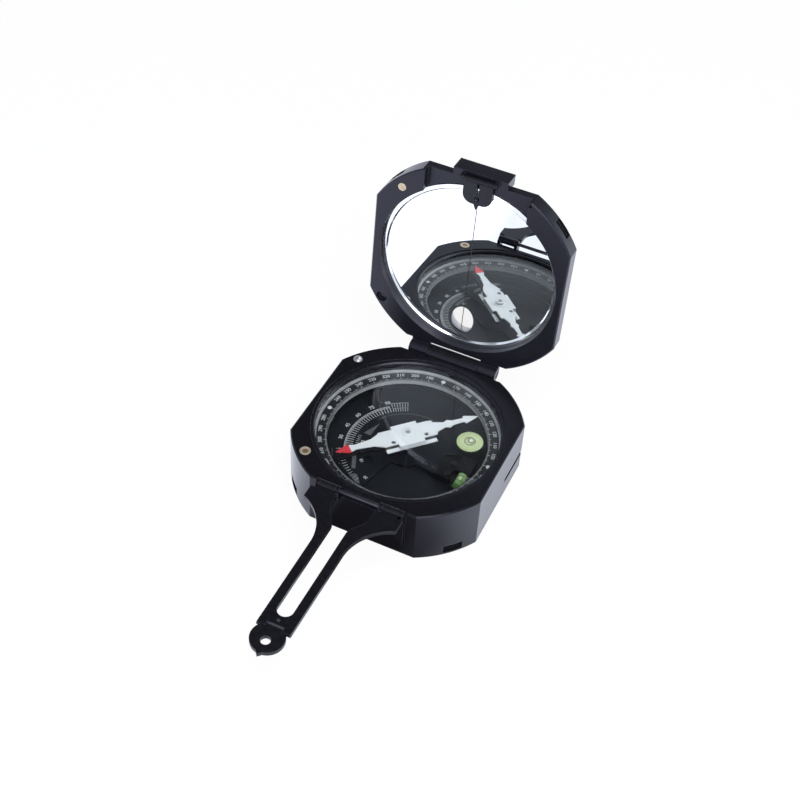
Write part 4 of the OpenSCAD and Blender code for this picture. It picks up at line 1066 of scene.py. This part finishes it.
case_enamel = enamel("case_enamel", BLACK, gloss=0.24, edge_wear_and_highlight=0.22, edge=0.25, dust=0.015)
lid_enamel = enamel("lid_enamel", (0.009, 0.009, 0.014), gloss=0.30, edge_wear_and_highlight=0.18, edge=0.25, hole=True)
arm_enamel = enamel("arm_enamel", BLACK, gloss=0.30, edge_wear_and_highlight=0.5, edge=0.15)
sight_enamel = enamel("sight_enamel", BLACK, gloss=0.34, edge_wear_and_highlight=0.25, edge=0.12)
bezel_enamel = enamel("bezel_enamel", (0.008, 0.008, 0.011), gloss=0.2, edge_wear_and_highlight=0.3, edge=0.18)
floor_paint = dial_paint("dial_floor_paint", (0.0055, 0.0065, 0.0095))
vernier_paint = dial_paint("vernier_paint", (0.005, 0.006, 0.009), 0.4)
ring_finish = ring_paint()
level_black = moulded_plastic("level_black", (0.005, 0.005, 0.006), 0.3)
hub_black = moulded_plastic("hub_black", (0.003, 0.003, 0.004), 0.24)
brass = metal("brass", (0.82, 0.72, 0.56), 0.4, bare=0.5)
pin_brass = metal("pin_brass", (0.42, 0.30, 0.14), 0.4, bare=0.6)
old_brass = metal("stud_brass", (0.66, 0.56, 0.40), 0.42, bare=0.6)
polished_rim = metal("polished_rim", (0.93, 0.94, 0.95), 0.1, dark=(0.84, 0.85, 0.87))
chrome = metal("bright_chrome", (0.62, 0.63, 0.66), 0.3, bare=0.7)
worn_steel = metal("worn_steel", (0.13, 0.13, 0.15), 0.3, edge_wear_and_highlight=0.7)
steel = metal("plain_steel", (0.52, 0.53, 0.55), 0.3)
dark_steel = metal("blacked_steel", (0.07, 0.07, 0.085), 0.3, edge_wear_and_highlight=0.7)
spring_steel = metal("spring_steel", (0.38, 0.39, 0.42), 0.36)
magnet_grey = metal("magnet_grey", (0.30, 0.30, 0.31), 0.45)
rubber = soft_stuff("gasket_rubber", (0.012, 0.012, 0.013), 0.7)
felt = soft_stuff("pad_felt", (0.10, 0.07, 0.045), 0.9, 900.0, 0.9)
white_paint = needle_paint()
white_ink = print_ink("white_print", (0.80, 0.83, 0.86), (0.58, 0.61, 0.64))
grey_ink_and_reflection = print_ink("grey_print_and_reflection", (0.14, 0.145, 0.155), (0.09, 0.095, 0.105))
line_ink = print_ink("dark_line", (0.012, 0.014, 0.012), (0.02, 0.025, 0.02))
pale_fluid = level_fluid("pale_green_spirit", (0.78, 0.89, 0.58), (0.56, 0.72, 0.34), ROUND_LEVEL)
green_fluid = level_fluid("green_spirit", (0.30, 0.50, 0.22), (0.15, 0.32, 0.10), TUBE_LEVEL)
pane = clear_glass("dial_pane", (0.97, 0.985, 0.98))
bubble_glass = level_fluid("bubble_air", (0.84, 0.94, 0.66), (0.6, 0.76, 0.40), ROUND_LEVEL)
silver = silvered_glass()

FINISHES = {
    "case_body": case_enamel, "bezel_ring": bezel_enamel, "lid_frame": lid_enamel,
    "sight_arm": arm_enamel, "peep_sight": sight_enamel, "front_sight": sight_enamel,
    "dial_plate": floor_paint, "vernier_plate": vernier_paint, "graduated_ring": ring_finish,
    "level_housing": level_black, "round_level_cup": level_black, "clinometer_shaft": hub_black,
    "clinometer_bush": brass, "lift_bush": brass, "lid_stud": old_brass,
    "tubular_level": green_fluid, "round_level_vial": pale_fluid, "dial_glass": pane,
    "mirror_glass": silver, "mirror_ring": polished_rim, "needle_cap": white_paint, "brake_button": chrome,
    "needle_blade": white_paint, "needle_magnet": magnet_grey, "mirror_pad": felt,
    "glass_gasket": rubber, "lift_spring": spring_steel, "brake_spring": spring_steel,
    "lid_hinge_pin": dark_steel, "arm_hinge_pin": worn_steel, "front_sight_pin": dark_steel,
    "peep_pin": dark_steel, "lift_pin": pin_brass, "lift_lever": dark_steel, "lift_bracket": dark_steel,
    "lift_lever_pin": dark_steel, "pivot_pin": steel, "friction_washer": spring_steel,
    "clinometer_lever": chrome, "lever_screw": steel, "dial_screws": dark_steel,
    "level_screws": dark_steel, "declination_pinion": old_brass,
}
for node_name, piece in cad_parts.items():
    piece.data.materials.clear()
    piece.data.materials.append(FINISHES[node_name])

ring_prints(white_ink)
dial_prints(white_ink, grey_ink_and_reflection)
vernier_prints(white_ink, grey_ink_and_reflection)
needle_dress(white_paint, chrome)
round_level_dress(pale_fluid, line_ink, bubble_glass)
tube_level_dress(line_ink, bubble_glass)
sighting_line(line_ink)

bpy.context.scene.view_settings.view_transform = "Standard"
